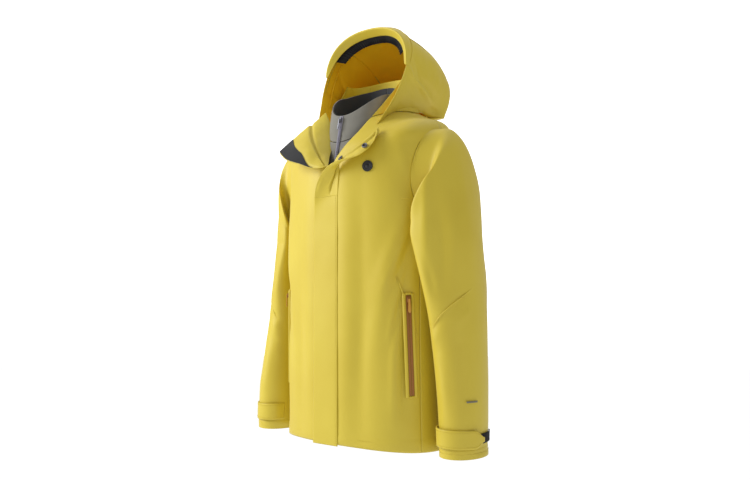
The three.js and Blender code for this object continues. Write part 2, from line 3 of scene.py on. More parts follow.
import bmesh
import bpy
import numpy as np
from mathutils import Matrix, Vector


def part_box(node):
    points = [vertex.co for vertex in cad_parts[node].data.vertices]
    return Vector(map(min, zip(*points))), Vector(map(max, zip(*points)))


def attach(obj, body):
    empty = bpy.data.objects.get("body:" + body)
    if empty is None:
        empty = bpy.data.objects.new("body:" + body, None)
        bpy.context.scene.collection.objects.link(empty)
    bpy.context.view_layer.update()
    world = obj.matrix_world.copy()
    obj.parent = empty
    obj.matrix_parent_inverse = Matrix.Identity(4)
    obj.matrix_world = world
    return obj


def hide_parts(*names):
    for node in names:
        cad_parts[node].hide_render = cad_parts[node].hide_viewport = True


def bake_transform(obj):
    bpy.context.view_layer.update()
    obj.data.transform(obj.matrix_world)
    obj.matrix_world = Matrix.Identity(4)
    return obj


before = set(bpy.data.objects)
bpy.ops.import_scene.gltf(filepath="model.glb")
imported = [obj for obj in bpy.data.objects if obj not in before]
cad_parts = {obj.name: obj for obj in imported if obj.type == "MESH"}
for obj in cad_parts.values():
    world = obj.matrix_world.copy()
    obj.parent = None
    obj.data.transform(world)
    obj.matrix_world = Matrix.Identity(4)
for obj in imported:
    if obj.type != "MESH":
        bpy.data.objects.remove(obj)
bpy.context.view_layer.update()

# Hardshell jacket: the cloth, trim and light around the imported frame. Shapes are worked out in
# millimetres, heights from the front hem and depths from the middle of the body, as part.mjs
# does, and place() turns them into the frame's metres.
FLAP_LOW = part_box("storm_flap")[0]
MM = 0.001
FLAP_FRONT, FLAP_HEM = -160, 4
ANCHOR = np.array([0, FLAP_LOW.y - FLAP_FRONT * MM, FLAP_LOW.z - FLAP_HEM * MM])


def place(points):
    return np.asarray(points, float) * MM + ANCHOR


def ring(half, side, front, back, power):
    return [half, *side, *front, *back, power]


# half width, (y, z) at the side, the front and the back, then the corner power
SHELL = np.array([
    ring(202, (0, -4), (-150, 6), (140, -14), 2.4),
    ring(197, (0, 230), (-150, 230), (138, 230), 2.4),
    ring(200, (0, 440), (-150, 440), (138, 440), 2.4),
    ring(198, (0, 560), (-150, 560), (134, 565), 2.4),
    ring(190, (2, 676), (-140, 632), (120, 668), 2.4),
    ring(140, (25, 708), (-118, 672), (104, 718), 2.3),
    ring(96, (38, 730), (-98, 700), (90, 744), 2.3),
])
LINER = np.array([
    ring(184, (0, 20), (-133, 20), (123, 20), 2.4),
    ring(180, (0, 230), (-133, 230), (121, 230), 2.4),
    ring(182, (0, 440), (-133, 440), (121, 440), 2.4),
    ring(178, (0, 560), (-133, 560), (116, 560), 2.4),
    ring(168, (2, 655), (-122.6, 612), (102, 648), 2.4),
    ring(124, (16, 686), (-117, 640), (82, 698), 2.3),
    ring(79, (8, 702), (-113.8, 656), (62, 728), 2.2),
])
LINER_TOP = np.array(ring(69, (-20, 762), (-102, 715), (56, 800), 2.2))
COLLAR_TOP = np.array(ring(92, (30, 810), (-40, 800), (80, 822), 2.2))
ARMHOLE_MID, ARMHOLE_HALF, ARMHOLE_DEG = 3.09, 0.92, 30
CLOTH = 1.1                     # how thick the shell's cloth is
SIDE_FRONT, SIDE_BACK = 68, 112
V_START, V_END, ZIP_EDGE, NECK = 3.35, 37, 1.05, 6

# sleeve rings below the armhole: inner x and z, outer x and z, y, half depth, swell of the front
HEAD = np.array([
    (202, 457, 220, 677, -2, 67, 0),
    (203, 454, 243, 648, -6, 78, 4),
    (204, 450, 258, 592, -12, 94, 32),
    (204, 446, 273, 518, -18, 91, 40),
])
# z, middle x, outward and inward half width, y, half depth, swell of the front
TUBE = np.array([
    (438, 236, 50, 32, -22, 90, 34),
    (350, 240, 50, 36, -15, 88, 14),
    (256, 250, 48, 42, -14, 76, 8),
    (100, 258, 48, 45, -14, 65, 0),
    (-4, 260, 46, 44, -15, 60, 0),
])
RIGHT_LEAN = np.array([(-4, -20), (100, -14), (256, 14), (350, 22), (438, 28), (600, 10)])
SLEEVE_END = len(HEAD) + len(TUBE)

# hood arches, rim to nape: base y and z, top y and z, half width
HOOD = np.array([
    (-80, 707, 14, 933, 117),
    (-40, 720, 82, 913, 121),
    (14, 732, 138, 882, 123),
    (68, 736, 184, 826, 121),
    (100, 730, 176, 730, 114),
])

# ---------- camera ----------
AZIMUTH, PITCH, YAW = math.radians(40), math.radians(1.43), math.radians(0.2)
DISTANCE, EYE_HEIGHT, LENS = 1.93, 395.7, 40.4
scene = bpy.context.scene
eye = place((0, 0, EYE_HEIGHT)) + DISTANCE * np.array([math.sin(AZIMUTH), -math.cos(AZIMUTH), 0])
lens = bpy.data.cameras.new("camera")
lens.lens, lens.sensor_width = LENS, 36
camera = bpy.data.objects.new("camera", lens)
camera.location = eye
camera.rotation_euler = (math.radians(90) + PITCH, 0, AZIMUTH - YAW)
scene.collection.objects.link(camera)
scene.camera = camera


# ---------- shape functions ----------
def mix(a, b, t):
    return a + (b - a) * t


def smooth(t):
    t = np.clip(t, 0, 1)
    return t * t * (3 - 2 * t)


def spline(table, pos):
    """Catmull-Rom through the rows of table (n, k), or of one table per point (..., n, k)."""
    pos = np.asarray(pos, float)
    n = table.shape[-2]
    i = np.clip(np.floor(pos).astype(int), 0, n - 2)
    f = (pos - i)[..., None]

    def at(k):
        k = np.clip(k, 0, n - 1)
        if table.ndim == 2:
            return table[k]
        return np.take_along_axis(table, k[..., None, None], axis=-2)[..., 0, :]

    a, b, c, d = at(i - 1), at(i), at(i + 1), at(i + 2)
    return 0.5 * (2 * b + (c - a) * f + (2 * a - 5 * b + 4 * c - d) * f**2 + (3 * b - a - 3 * c + d) * f**3)


def on_ring(r, deg):
    s, c = np.sin(np.radians(deg)), np.cos(np.radians(deg))
    pull = np.abs(c) ** (2 / r[..., 7])
    front = c >= 0
    end_y = np.where(front, r[..., 3], r[..., 5])
    end_z = np.where(front, r[..., 4], r[..., 6])
    x = r[..., 0] * np.sign(s) * np.abs(s) ** (2 / r[..., 7])
    return np.stack([x, mix(r[..., 1], end_y, pull), mix(r[..., 2], end_z, c * c)], -1)


def shell_at(deg, pos):
    return on_ring(spline(SHELL, pos), deg)


def liner_at(deg, pos):
    return on_ring(spline(LINER, pos), deg)


def armhole_deg(pos):
    k = (pos - ARMHOLE_MID) / ARMHOLE_HALF
    return ARMHOLE_DEG * np.sqrt(np.clip(1 - k * k, 0, 1))


def v_deg(pos):
    k = np.clip((pos - V_START) / (NECK - V_START), 0, 1)
    return ZIP_EDGE + (V_END - ZIP_EDGE) * k**1.35


def sleeve_at(sign, turn, pos):
    turn, pos = np.broadcast_arrays(np.asarray(turn, float), np.asarray(pos, float))
    c, s = np.cos(turn), np.sin(turn)
    start = shell_at(90 - ARMHOLE_DEG * s, ARMHOLE_MID + ARMHOLE_HALF * c)
    start[..., 0] += 0.4
    rings = [start]
    bulge = np.maximum(s, 0) ** 2
    for in_x, in_z, out_x, out_z, y, depth, swell in HEAD:
        x = (in_x + out_x) / 2 + (out_x - in_x) / 2 * c - swell * bulge
        z = (in_z + out_z) / 2 + (out_z - in_z) / 2 * c
        rings.append(np.stack([x, y - depth * s, z], -1))
    for z, x, out, inner, y, depth, swell in TUBE:
        across = x + c * np.where(c > 0, out, inner) - swell * bulge
        rings.append(np.stack([across, y - depth * s, z + 0 * c], -1))
    p = spline(np.stack(rings, -2), pos)
    if sign < 0:
        back = np.interp(p[..., 2], RIGHT_LEAN[:, 0], RIGHT_LEAN[:, 1])
        p[..., 1] += back * np.clip(pos / len(HEAD), 0, 1)
        p[..., 0] *= -1
    return p


def arch_table():
    a = np.radians(np.linspace(-90, 90, 2001))
    h = np.clip(np.cos(a), 0, 1) ** (1 / 3)
    h[[0, -1]] = 0
    w = np.sign(a) * np.abs(np.sin(a)) ** (1 / 1.1)
    run = np.concatenate([[0], np.cumsum(np.hypot(np.diff(w), np.diff(h) * 1.9))])
    return run / run[-1], w, h


ARCH = arch_table()


def hood_at(share, pos):
    share = np.clip(share, 0, 1)
    r = spline(HOOD, pos)
    w, h = np.interp(share, ARCH[0], ARCH[1]), np.interp(share, ARCH[0], ARCH[2])
    tuck = 1 - 0.28 * (1 - h) ** 4
    y, z = mix(r[..., 0], r[..., 2], h), mix(r[..., 1], r[..., 3], h)
    corner = smooth((np.abs(share - 0.5) - 0.4) / 0.1) * smooth(1 - pos / 1.2)
    near = smooth((share - 0.6) / 0.16) * smooth((1 - share) / 0.1) * smooth(1 - pos / 1.4)
    late = smooth((pos - 3.1) / 0.9) ** 2
    return np.stack([w * r[..., 4] * tuck, y - 12 * corner + 12 * near - 24 * late * h, z - 24 * corner], -1)


# ---------- mesh tools ----------
def new_object(name, points, faces, materials, face_slots=None, flat=0):
    """A mesh from points in millimetres and rows of corners, smooth but for its last flat faces."""
    faces = np.asarray(faces, np.int32)
    mesh = bpy.data.meshes.new(name)
    mesh.vertices.add(len(points))
    mesh.vertices.foreach_set("co", place(points).astype(np.float32).ravel())
    mesh.loops.add(faces.size)
    mesh.loops.foreach_set("vertex_index", faces.ravel())
    mesh.polygons.add(len(faces))
    mesh.polygons.foreach_set("loop_start", np.arange(0, faces.size, faces.shape[1], dtype=np.int32))
    mesh.polygons.foreach_set("use_smooth", np.arange(len(faces)) < len(faces) - flat)
    for m in materials:
        mesh.materials.append(m)
    if face_slots is not None:
        mesh.polygons.foreach_set("material_index", np.asarray(face_slots, np.int32))
    mesh.update(calc_edges=True)
    mesh.validate()
    o = bpy.data.objects.new(name, mesh)
    scene.collection.objects.link(o)
    return o


def plain_object(name, points, faces, materials):
    mesh = bpy.data.meshes.new(name)
    mesh.from_pydata(place(points).tolist(), [], faces)
    for m in materials:
        mesh.materials.append(m)
    mesh.update()
    o = bpy.data.objects.new(name, mesh)
    scene.collection.objects.link(o)
    return o


def normals(p):
    """Unit normals of a grid of points (rows, columns, 3)."""
    n = np.cross(np.gradient(p, axis=1), np.gradient(p, axis=0))
    return n / np.maximum(np.linalg.norm(n, axis=-1, keepdims=True), 1e-9)


def unit(vectors):
    return vectors / np.maximum(np.linalg.norm(vectors, axis=1, keepdims=True), 1e-9)


def surface_normals(f, u, v, flip):
    e = 1e-3
    n = unit(np.cross(f(u + e, v) - f(u - e, v), f(u, v + e) - f(u, v - e)))
    return -n if flip else n


def steps(n, *lines, near=0.003):
    """n even steps from 0 to 1, with closer ones about each of the lines."""
    extra = [line + k * near for line in lines for k in (-2, -1, -0.45, 0, 0.45, 1, 2)]
    return np.unique(np.clip(np.concatenate([np.linspace(0, 1, n + 1), extra]), 0, 1).round(5))


def grid(f, us, vs, relief=None, flip=False):
    us, vs = (np.linspace(0, 1, k + 1) if isinstance(k, int) else k for k in (us, vs))
    u, v = np.meshgrid(us, vs)
    p = f(u, v)
    n = normals(p) * (-1 if flip else 1)
    if relief is not None:
        p = p + n * relief(p, u, v)[..., None]
        n = normals(p) * (-1 if flip else 1)
    return p, n


def sheet(name, f, us, vs, thick, materials, relief=None, flip=False, around=False, rows_kept=None):
    """A cloth of even thickness: f(u, v) is its face, and flip turns the face's side over.

    With rows_kept only those rows of the grid are made, shaded as if the rest went on.
    """
    p, n = grid(f, us, vs, relief, flip)
    if around:
        n[:, 0] = n[:, -1] = (n[:, 0] + n[:, -1]) / 2
        p, n = p[:, :-1], n[:, :-1]
    if rows_kept:
        p, n = p[rows_kept], n[rows_kept]
    rows, cols = p.shape[:2]
    front, back = p.reshape(-1, 3), (p - n * thick).reshape(-1, 3)
    k = np.arange(rows * cols).reshape(rows, cols)
    if around:
        k = np.concatenate([k, k[:, :1]], 1)
    a, b, c, d = k[:-1, :-1], k[:-1, 1:], k[1:, 1:], k[1:, :-1]
    quads = np.stack([a, b, c, d], -1).reshape(-1, 4)
    layer = rows * cols
    edges = [(k[0, :-1], k[0, 1:]), (k[-1, 1:], k[-1, :-1])]
    if not around:
        edges += [(k[:-1, -1], k[1:, -1]), (k[1:, 0], k[:-1, 0])]
    rim = [np.stack([e1, e0, e0 + layer, e1 + layer], -1) for e0, e1 in edges]
    faces = np.concatenate([quads, quads[:, ::-1] + layer, *rim])
    if flip:
        faces = faces[:, ::-1]
    inner = min(1, len(materials) - 1)
    rims = sum(len(r) for r in rim)
    slots = np.concatenate([np.zeros(len(quads)), np.full(len(quads), inner), np.zeros(rims)])
    o = new_object(name, np.concatenate([front, back]), faces, materials, slots, rims)
    if rows_kept:
        o.data.normals_split_custom_set_from_vertices(np.concatenate([n, -n]).reshape(-1, 3).tolist())
    return o


def finish_piece(o, body, slot, *nodes, blend=None):
    if nodes:
        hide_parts(*nodes)
    if blend:
        other, start, end = blend
        tuple(place(start))
        tuple(place(end))
        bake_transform(o)
    else:
        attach(o, body)
    return o


def ridge(p, a, b, width, height):
    """A soft ridge or, with a negative height, a valley along the line from a to b."""
    a, b = np.array(a, float), np.array(b, float)
    d = b - a
    t = np.clip(((p - a) @ d) / (d @ d), 0, 1)
    gap = np.linalg.norm(p - a - t[..., None] * d, axis=-1)
    fade = np.sin(np.pi * np.clip(0.08 + 0.84 * t, 0, 1))
    return height * fade * np.exp(-((gap / width) ** 2))


def add_ridges(h, p, table):
    for a, b, width, height in table:
        h = h + ridge(p, a, b, width, height)
    return h


def ripple(p, scale, height, seed, squeeze=(1, 1, 1)):
    """Smooth seeded unevenness, height each way, about scale millimetres from crest to crest."""
    rng = np.random.default_rng(seed)
    total = np.zeros(p.shape[:-1])
    q = p / np.array(squeeze)
    for _ in range(7):
        d = rng.normal(size=3)
        d *= 2 * np.pi / (scale * rng.uniform(0.7, 1.6)) / np.linalg.norm(d)
        total += np.sin(q @ d + rng.uniform(0, 6.28))
    return total * height / 4


# ---------- materials ----------
def linear(r, g, b):
    return tuple(((c / 255 + 0.055) / 1.055) ** 2.4 if c > 10 else c / 255 / 12.92 for c in (r, g, b)) + (1,)


def node(tree, kind, **values):
    n = tree.nodes.new(kind)
    for key, value in values.items():
        if hasattr(n, key):
            setattr(n, key, value)
        else:
            n.inputs[key.replace("_", " ")].default_value = value
    return n


def wire_grain(t, bsdf, grain, bump, rough, spread):
    """Let the grain raise the surface and vary its roughness."""
    bumps = node(t, "ShaderNodeBump", Strength=bump, Distance=0.0003)
    t.links.new(grain.outputs["Fac"], bumps.inputs["Height"])
    t.links.new(bumps.outputs["Normal"], bsdf.inputs["Normal"])
    rough_map = node(t, "ShaderNodeMapRange", To_Min=rough - 0.05, To_Max=rough + spread)
    t.links.new(grain.outputs["Fac"], rough_map.inputs["Value"])
    t.links.new(rough_map.outputs["Result"], bsdf.inputs["Roughness"])


def new_material(name):
    m = bpy.data.materials.new(name)
    m.use_nodes = True
    return m, m.node_tree, m.node_tree.nodes["Principled BSDF"]


def cloth_material(name, colour, shade, rough, weave=1500, bump=0.12, sheen=0.3, tint=6, gloss=0.3):
    """Cloth: a fine even grain, slight blotches of colour and a soft sheen."""
    m, t, bsdf = new_material(name)
    coord = node(t, "ShaderNodeTexCoord")
    blotch = node(t, "ShaderNodeTexNoise", Scale=float(tint), Detail=3.0, Roughness=0.55)
    grain = node(t, "ShaderNodeTexNoise", Scale=float(weave), Detail=2.0)
    for texture in (blotch, grain):
        t.links.new(coord.outputs["Object"], texture.inputs["Vector"])
    ramp = node(t, "ShaderNodeValToRGB")
    ramp.color_ramp.elements[0].position, ramp.color_ramp.elements[1].position = 0.3, 0.7
    ramp.color_ramp.elements[0].color, ramp.color_ramp.elements[1].color = shade, colour
    t.links.new(blotch.outputs["Fac"], ramp.inputs["Fac"])
    t.links.new(ramp.outputs["Color"], bsdf.inputs["Base Color"])
    wire_grain(t, bsdf, grain, bump, rough, 0.05)
    bsdf.inputs["Sheen Weight"].default_value = sheen
    bsdf.inputs["Sheen Roughness"].default_value = 0.4
    bsdf.inputs["Specular IOR Level"].default_value = gloss
    return m


def moulded_material(name, colour, rough, metallic=0.0, grain=500, bump=0.08, coat=0.0):
    m, t, bsdf = new_material(name)
    coord = node(t, "ShaderNodeTexCoord")
    noise = node(t, "ShaderNodeTexNoise", Scale=float(grain), Detail=3.0)
    t.links.new(coord.outputs["Object"], noise.inputs["Vector"])
    ramp = node(t, "ShaderNodeValToRGB")
    ramp.color_ramp.elements[0].color = tuple(c * 0.85 for c in colour[:3]) + (1,)
    ramp.color_ramp.elements[1].color = colour
    t.links.new(noise.outputs["Fac"], ramp.inputs["Fac"])
    t.links.new(ramp.outputs["Color"], bsdf.inputs["Base Color"])
    wire_grain(t, bsdf, noise, bump, rough, 0.08)
    bsdf.inputs["Metallic"].default_value = metallic
    bsdf.inputs["Coat Weight"].default_value = coat
    return m


YELLOW = cloth_material("shell_yellow", linear(207, 186, 46), linear(201, 178, 36), 0.58, sheen=0.12,
                        gloss=0.7)
# FACING: the inner face's own gold tone, made brighter than the cloth itself as painted light, so the inside
# of the hood reads as lit
FACING = cloth_material("facing_gold_painted_light", linear(250, 206, 34), linear(243, 196, 24), 0.55, sheen=0.05)
LAPEL = cloth_material("lapel_yellow", linear(210, 190, 58), linear(203, 181, 47), 0.58, sheen=0.12,
                       gloss=0.7)
# COLLAR: a lighter copy of the shell yellow for the collar's inside, painted light that makes that shaded
# inside read as lit
COLLAR = cloth_material("collar_yellow_painted_light", linear(238, 216, 62), linear(230, 206, 50), 0.58, sheen=0.1,
                        gloss=0.5)
CHARCOAL = cloth_material("charcoal_brushed", linear(40, 41, 44), linear(33, 34, 36), 0.85, sheen=0.3)
GRIP = cloth_material("black_band", linear(20, 20, 22), linear(13, 13, 15), 0.8, weave=700, bump=0.4,
                      sheen=0.02)
LINER_GREY = cloth_material("liner_grey", linear(130, 128, 120), linear(121, 119, 112), 0.9,
                            weave=800, bump=0.4, sheen=0.3, tint=30)
LINER_DARK = cloth_material("liner_inside", linear(72, 74, 77), linear(62, 64, 67), 0.9, weave=800, bump=0.4)
COIL = moulded_material("zip_coil_grey", linear(150, 148, 166), 0.45)
OCHRE = moulded_material("zip_coated_brown", linear(152, 98, 30), 0.5)
THREAD = moulded_material("thread_yellow", linear(206, 182, 48), 0.6, grain=3000)
PULL = moulded_material("puller_gold", linear(205, 150, 48), 0.4, coat=0.2)
METAL = moulded_material("snap_metal", linear(196, 198, 202), 0.25, metallic=1.0)
GUNMETAL = moulded_material("gunmetal", linear(104, 104, 112), 0.4, metallic=0.6)
RUBBER = moulded_material("badge_rubber", linear(26, 26, 28), 0.5, grain=900)
REFLECT = moulded_material("reflective_grey", linear(120, 116, 96), 0.4)
TWO_SIDED = [YELLOW, FACING]
SIDES = (("left", 1), ("right", -1))


def sided(sign, f):
    def g(u, v):
        p = f(u, v)
        p[..., 0] *= sign
        return p
    return g


def sewn(f, path, name, body, pitch=3.6, slot="shell", blend=None, lift=0.25, flip=False, along=(0, 1),
         over=THREAD):
    """A row of stitches along path(s) -> (u, v) on the surface f, as real raised threads."""
    s = np.linspace(*along, 1500)
    u, v = path(s)
    p = f(u, v)
    run = np.concatenate([[0], np.cumsum(np.linalg.norm(np.diff(p, axis=0), axis=1))])
    count = max(2, int(run[-1] / pitch))
    at = (np.arange(count) + 0.5) * run[-1] / count
    here = np.stack([np.interp(at, run, p[:, i]) for i in range(3)], -1)
    ahead = np.stack([np.interp(at + 0.5, run, p[:, i]) for i in range(3)], -1)
    s_at = np.interp(at, run, s)
    u_at, v_at = path(s_at)
    n = surface_normals(f, u_at, v_at, flip)
    t = unit(ahead - here)
    w = np.cross(n, t)
    half, wide, tall = pitch * 0.36, 0.42, 0.5
    here = here + n * lift
    corners = [here - t * half, here + w * wide, here + t * half, here - w * wide, here + n * tall,
               here - n * tall]
    points = np.stack(corners, 1).reshape(-1, 3)
    base = (np.arange(count) * 6)[:, None, None]
    tri = np.array([(0, 1, 4), (1, 2, 4), (2, 3, 4), (3, 0, 4), (1, 0, 5), (2, 1, 5), (3, 2, 5), (0, 3, 5)])
    o = new_object(name, points, (base + tri[None]).reshape(-1, 3), [over])
    return finish_piece(o, body, slot, blend=blend)


def welt(f, path, name, body, width=2.6, height=0.7, slot="shell", material=YELLOW, blend=None, flip=False,
         n=90):
    """A low rounded ridge along path(s) -> (u, v) on f: a taped seam or a folded edge."""
    u, v = path(np.linspace(0, 1, n))
    p = f(u, v)
    normal = surface_normals(f, u, v, flip)
    along = unit(np.gradient(p, axis=0))
    side = np.cross(normal, along)
    turn = np.linspace(0, 2 * np.pi, 10, endpoint=False)
    fade = np.minimum(1, 6 * np.minimum(np.linspace(0, 1, n), np.linspace(1, 0, n)) + 0.15)[:, None, None]
    section = (side[:, None] * np.cos(turn)[None, :, None] * width / 2
               + normal[:, None] * np.sin(turn)[None, :, None] * height) * fade
    points = (p[:, None] + section).reshape(-1, 3)
    k = np.arange(n * 10).reshape(n, 10)
    k = np.concatenate([k, k[:, :1]], 1)
    quads = np.stack([k[:-1, :-1], k[:-1, 1:], k[1:, 1:], k[1:, :-1]], -1).reshape(-1, 4)
    ends = [[k[0, 0], k[0, i], k[0, i + 1], k[0, i + 2]] for i in (1, 3, 5, 7)]
    ends += [[k[-1, 0], k[-1, i + 2], k[-1, i + 1], k[-1, i]] for i in (1, 3, 5, 7)]
    o = new_object(name, points, np.concatenate([quads, np.array(ends)]), [material])
    return finish_piece(o, body, slot, blend=blend)


BOX_FACES = [(0, 1, 3, 2), (4, 6, 7, 5), (0, 4, 5, 1), (2, 3, 7, 6), (0, 2, 6, 4), (1, 5, 7, 3)]


def block(name, size, material, bevel, frame_at=None, centre=(0, 0, 0)):
    """A bevelled box: size and centre in millimetres in the axes of frame_at (origin, x, y, z)."""
    x, y, z = (np.array([-0.5, 0.5]) * s for s in size)
    corners = np.array([(i, j, k) for i in x for j in y for k in z]) + np.array(centre)
    if frame_at:
        origin, *axes = (np.array(a, float) for a in frame_at)
        corners = origin + corners @ np.array(axes)
    o = new_object(name, corners, BOX_FACES, [material])
    round_edges(o, bevel, 2)
    return o


def small_boxes(name, centres, half, material, frame_at=None):
    """One mesh of equal boxes about the centres, given their half sizes."""
    x, y, z = ((-s, s) for s in half)
    cube = np.array([(i, j, k) for i in x for j in y for k in z])
    points = (np.array(centres)[:, None] + cube).reshape(-1, 3)
    if frame_at:
        points = frame_at[0] + points @ np.array(frame_at[1:])
    faces = (np.arange(len(centres))[:, None, None] * 8 + np.array(BOX_FACES)).reshape(-1, 4)
    return new_object(name, points, faces, [material])


def round_edges(o, bevel, segments):
    modifier = o.modifiers.new("round", "BEVEL")
    modifier.width, modifier.segments, modifier.limit_method = bevel * MM, segments, "ANGLE"
    deps = bpy.context.evaluated_depsgraph_get()
    mesh = bpy.data.meshes.new_from_object(o.evaluated_get(deps))
    o.modifiers.clear()
    o.data = mesh
    mesh.polygons.foreach_set("use_smooth", np.ones(len(mesh.polygons), bool))


def lathe(name, profile, at, axis, materials, slots=None, n=40):
    """A turned piece: profile holds (radius, height) along axis, both ends on the axis."""
    axis = np.array(axis, float) / np.linalg.norm(axis)
    side = np.cross(axis, (0.3, 0.5, 0.81))
    side /= np.linalg.norm(side)
    third = np.cross(axis, side)
    turn = np.linspace(0, 2 * np.pi, n, endpoint=False)
    around = side * np.cos(turn)[:, None] + third * np.sin(turn)[:, None]
    rings = [np.array(at) + around * r + axis * h for r, h in profile[1:-1]]
    points = np.concatenate([[np.array(at) + axis * profile[0][1]], *rings,
                             [np.array(at) + axis * profile[-1][1]]])
    faces, kinds = [], []
    last = len(points) - 1
    for i in range(n):
        j = (i + 1) % n
        faces += [(0, 1 + j, 1 + i, 1 + i), (last, last - n + i, last - n + j, last - n + j)]
        kinds += [0, len(profile) - 2]
        for k in range(len(profile) - 3):
            a = 1 + k * n
            faces.append((a + i, a + j, a + n + j, a + n + i))
            kinds.append(k + 1)
    tri = [f[:3] for f in faces if f[2] == f[3]]
    quad = [f for f in faces if f[2] != f[3]]
    o = plain_object(name, points, tri + quad, materials)
    if slots:
        order = [k for flat in (True, False) for f, k in zip(faces, kinds) if (f[2] == f[3]) == flat]
        o.data.polygons.foreach_set("material_index", [slots[k] for k in order])
    o.data.polygons.foreach_set("use_smooth", np.ones(len(o.data.polygons), bool))
    o.data.update()
    return o


# ---------- shell body ----------
def front_limit(pos):
    return np.minimum(np.where(pos > ARMHOLE_MID, 90, SIDE_FRONT), 90 - armhole_deg(pos))


def front_at(u, v):
    pos = NECK * v
    return shell_at(mix(v_deg(pos), front_limit(pos), u), pos)


def side_at(u, v):
    deg = mix(SIDE_FRONT, SIDE_BACK, u)
    k = (deg - 90) / ARMHOLE_DEG
    return shell_at(deg, (ARMHOLE_MID - ARMHOLE_HALF * np.sqrt(1 - k * k)) * v)


def back_at(u, v):
    pos = NECK * v
    start = 180 - front_limit(pos)
    return shell_at(mix(start, 360 - start, u), pos)


# ridges, or valleys where the height is negative: from, to, width and height
BODY_FOLDS = (
    ((180, -84, 474), (128, -126, 330), 7, 2.6),
    ((176, -86, 440), (136, -120, 300), 6, -2.6),
    ((172, -92, 330), (168, -98, 80), 11, -6),
    ((152, -108, 300), (150, -112, 60), 10, 3),
    ((168, -96, 380), (140, -118, 232), 6, 2.2),
    ((164, -98, 340), (146, -114, 212), 6, -2.4),
    ((172, -88, 505), (118, -132, 330), 17, 4.5),
    ((182, -74, 500), (150, -112, 250), 13, -4),
    ((150, -112, 420), (104, -140, 180), 22, 3),
    ((120, -132, 380), (66, -147, 60), 24, -2.6),
    ((60, -150, 560), (52, -150, 40), 20, 1.8),
    ((92, -142, 500), (88, -143, 20), 18, -2),
    ((150, -105, 640), (176, -76, 560), 12, 2.4),
    ((120, -105, 668), (160, -90, 600), 12, -2),
    ((186, 70, 470), (120, 128, 330), 20, 4),
    ((160, 95, 600), (60, 134, 480), 26, -3),
)


def body_folds(sign, seed):
    """Soft hanging folds of the shell, as heights along its outward normal."""
    def relief(p, u, v):
        q = p * np.array([sign, 1, 1])
        z = q[..., 2]
        h = ripple(q, 150, 1.7, seed, (1, 1, 4.5)) * smooth((620 - z) / 250)
        h = h + ripple(q, 60, 0.35, seed + 1, (1, 1, 3)) + ripple(q, 26, 0.09, seed + 2, (1, 1, 1.6))
        h = add_ridges(h, q, BODY_FOLDS)
        x = np.abs(q[..., 0])
        h = h + 6 * np.exp(-(((x - 165) / 32) ** 2)) * smooth((z - 640) / 30)
        crown = smooth((96 - x) / 58) * smooth((x - 12) / 12) * (q[..., 1] < 0) * smooth((640 - z) / 70)
        h = h + (7.6 if sign > 0 else 3.6) * crown
        hem = 0.7 * smooth((27 - z) / 3) - 0.5 * np.exp(-(((z - 26) / 2.4) ** 2))
        edge = np.minimum(smooth(z / 14), 1)
        return h * edge * 0.9 + hem * (q[..., 1] < 60)
    return relief


for side, sign in SIDES:
    o = sheet(f"{side}_front_cloth", sided(sign, front_at), steps(54), steps(150, 0.037), CLOTH, TWO_SIDED,
              body_folds(sign, 5 if sign > 0 else 9), flip=sign < 0)
    finish_piece(o, "shell", "shell", f"{side}_front_panel", f"{side}_chest_yoke")
    o = sheet(f"{side}_side_cloth", sided(sign, side_at), 32, steps(104, 0.05), CLOTH, TWO_SIDED,
              body_folds(sign, 5 if sign > 0 else 9), flip=sign < 0)
    finish_piece(o, "shell", "shell", f"{side}_side_panel")
o = sheet("back_cloth", back_at, 110, steps(140, 0.037), CLOTH, TWO_SIDED, body_folds(1, 21))
finish_piece(o, "shell", "shell", "back_panel", "back_yoke")


# ---------- sleeves ----------
LENGTHS = steps(200, 0.975)
SPLIT = 131                     # the row where the upper sleeve's cloth hands over to the lower's
ELBOW_BACK = np.array([0, 0.2, -0.98])


SLEEVE_FOLDS = (
    ((218, -94, 600), (234, -106, 300), 12, 4),
    ((252, -92, 600), (262, -88, 330), 13, -4.5),
    ((276, -60, 560), (286, -66, 330), 15, 3),
    ((206, -92, 470), (246, -102, 330), 9, -4),
    ((228, -100, 250), (292, -50, 330), 8, -2.6),
    ((226, -96, 226), (296, -40, 296), 9, 2.8),
    ((232, -88, 206), (290, -54, 232), 8, -2.2),
    ((252, -84, 190), (262, -76, 70), 12, 2.2),
    ((282, -62, 250), (292, -50, 70), 11, -2.4),
    ((262, 66, 420), (270, 70, 240), 14, 3),
)


def sleeve_folds(sign, seed, at_seam):
    def relief(p, u, v):
        q = p * np.array([sign, 1, 1])
        z = q[..., 2]
        if sign < 0:
            q = q - np.array([0, 1, 0]) * np.interp(z, RIGHT_LEAN[:, 0], RIGHT_LEAN[:, 1])[..., None]
        h = ripple(q, 120, 1.7, seed, (1, 1, 4)) + ripple(q, 55, 0.45, seed + 1, (1, 1, 2.4))
        h = h + ripple(q, 26, 0.09, seed + 2, (1, 1, 1.6))
        h = add_ridges(h, q, SLEEVE_FOLDS)
        cuff = 0.6 * smooth((17 - z) / 3) - 0.5 * np.exp(-(((z - 17) / 2.2) ** 2))
        away = smooth((q[..., 0] - 196) / 26)
        joined = at_seam(p, u, v) * smooth(1 - v * SLEEVE_END / 0.7)
        return h * away * smooth(z / 10) + cuff + joined
    return relief


def elbow_bend(side, sign):
    middle = np.array([sign * 250, -14.5 if sign > 0 else -0.5, 290])
    return f"{side}_lower_arm", middle - ELBOW_BACK * 50, middle + ELBOW_BACK * 50


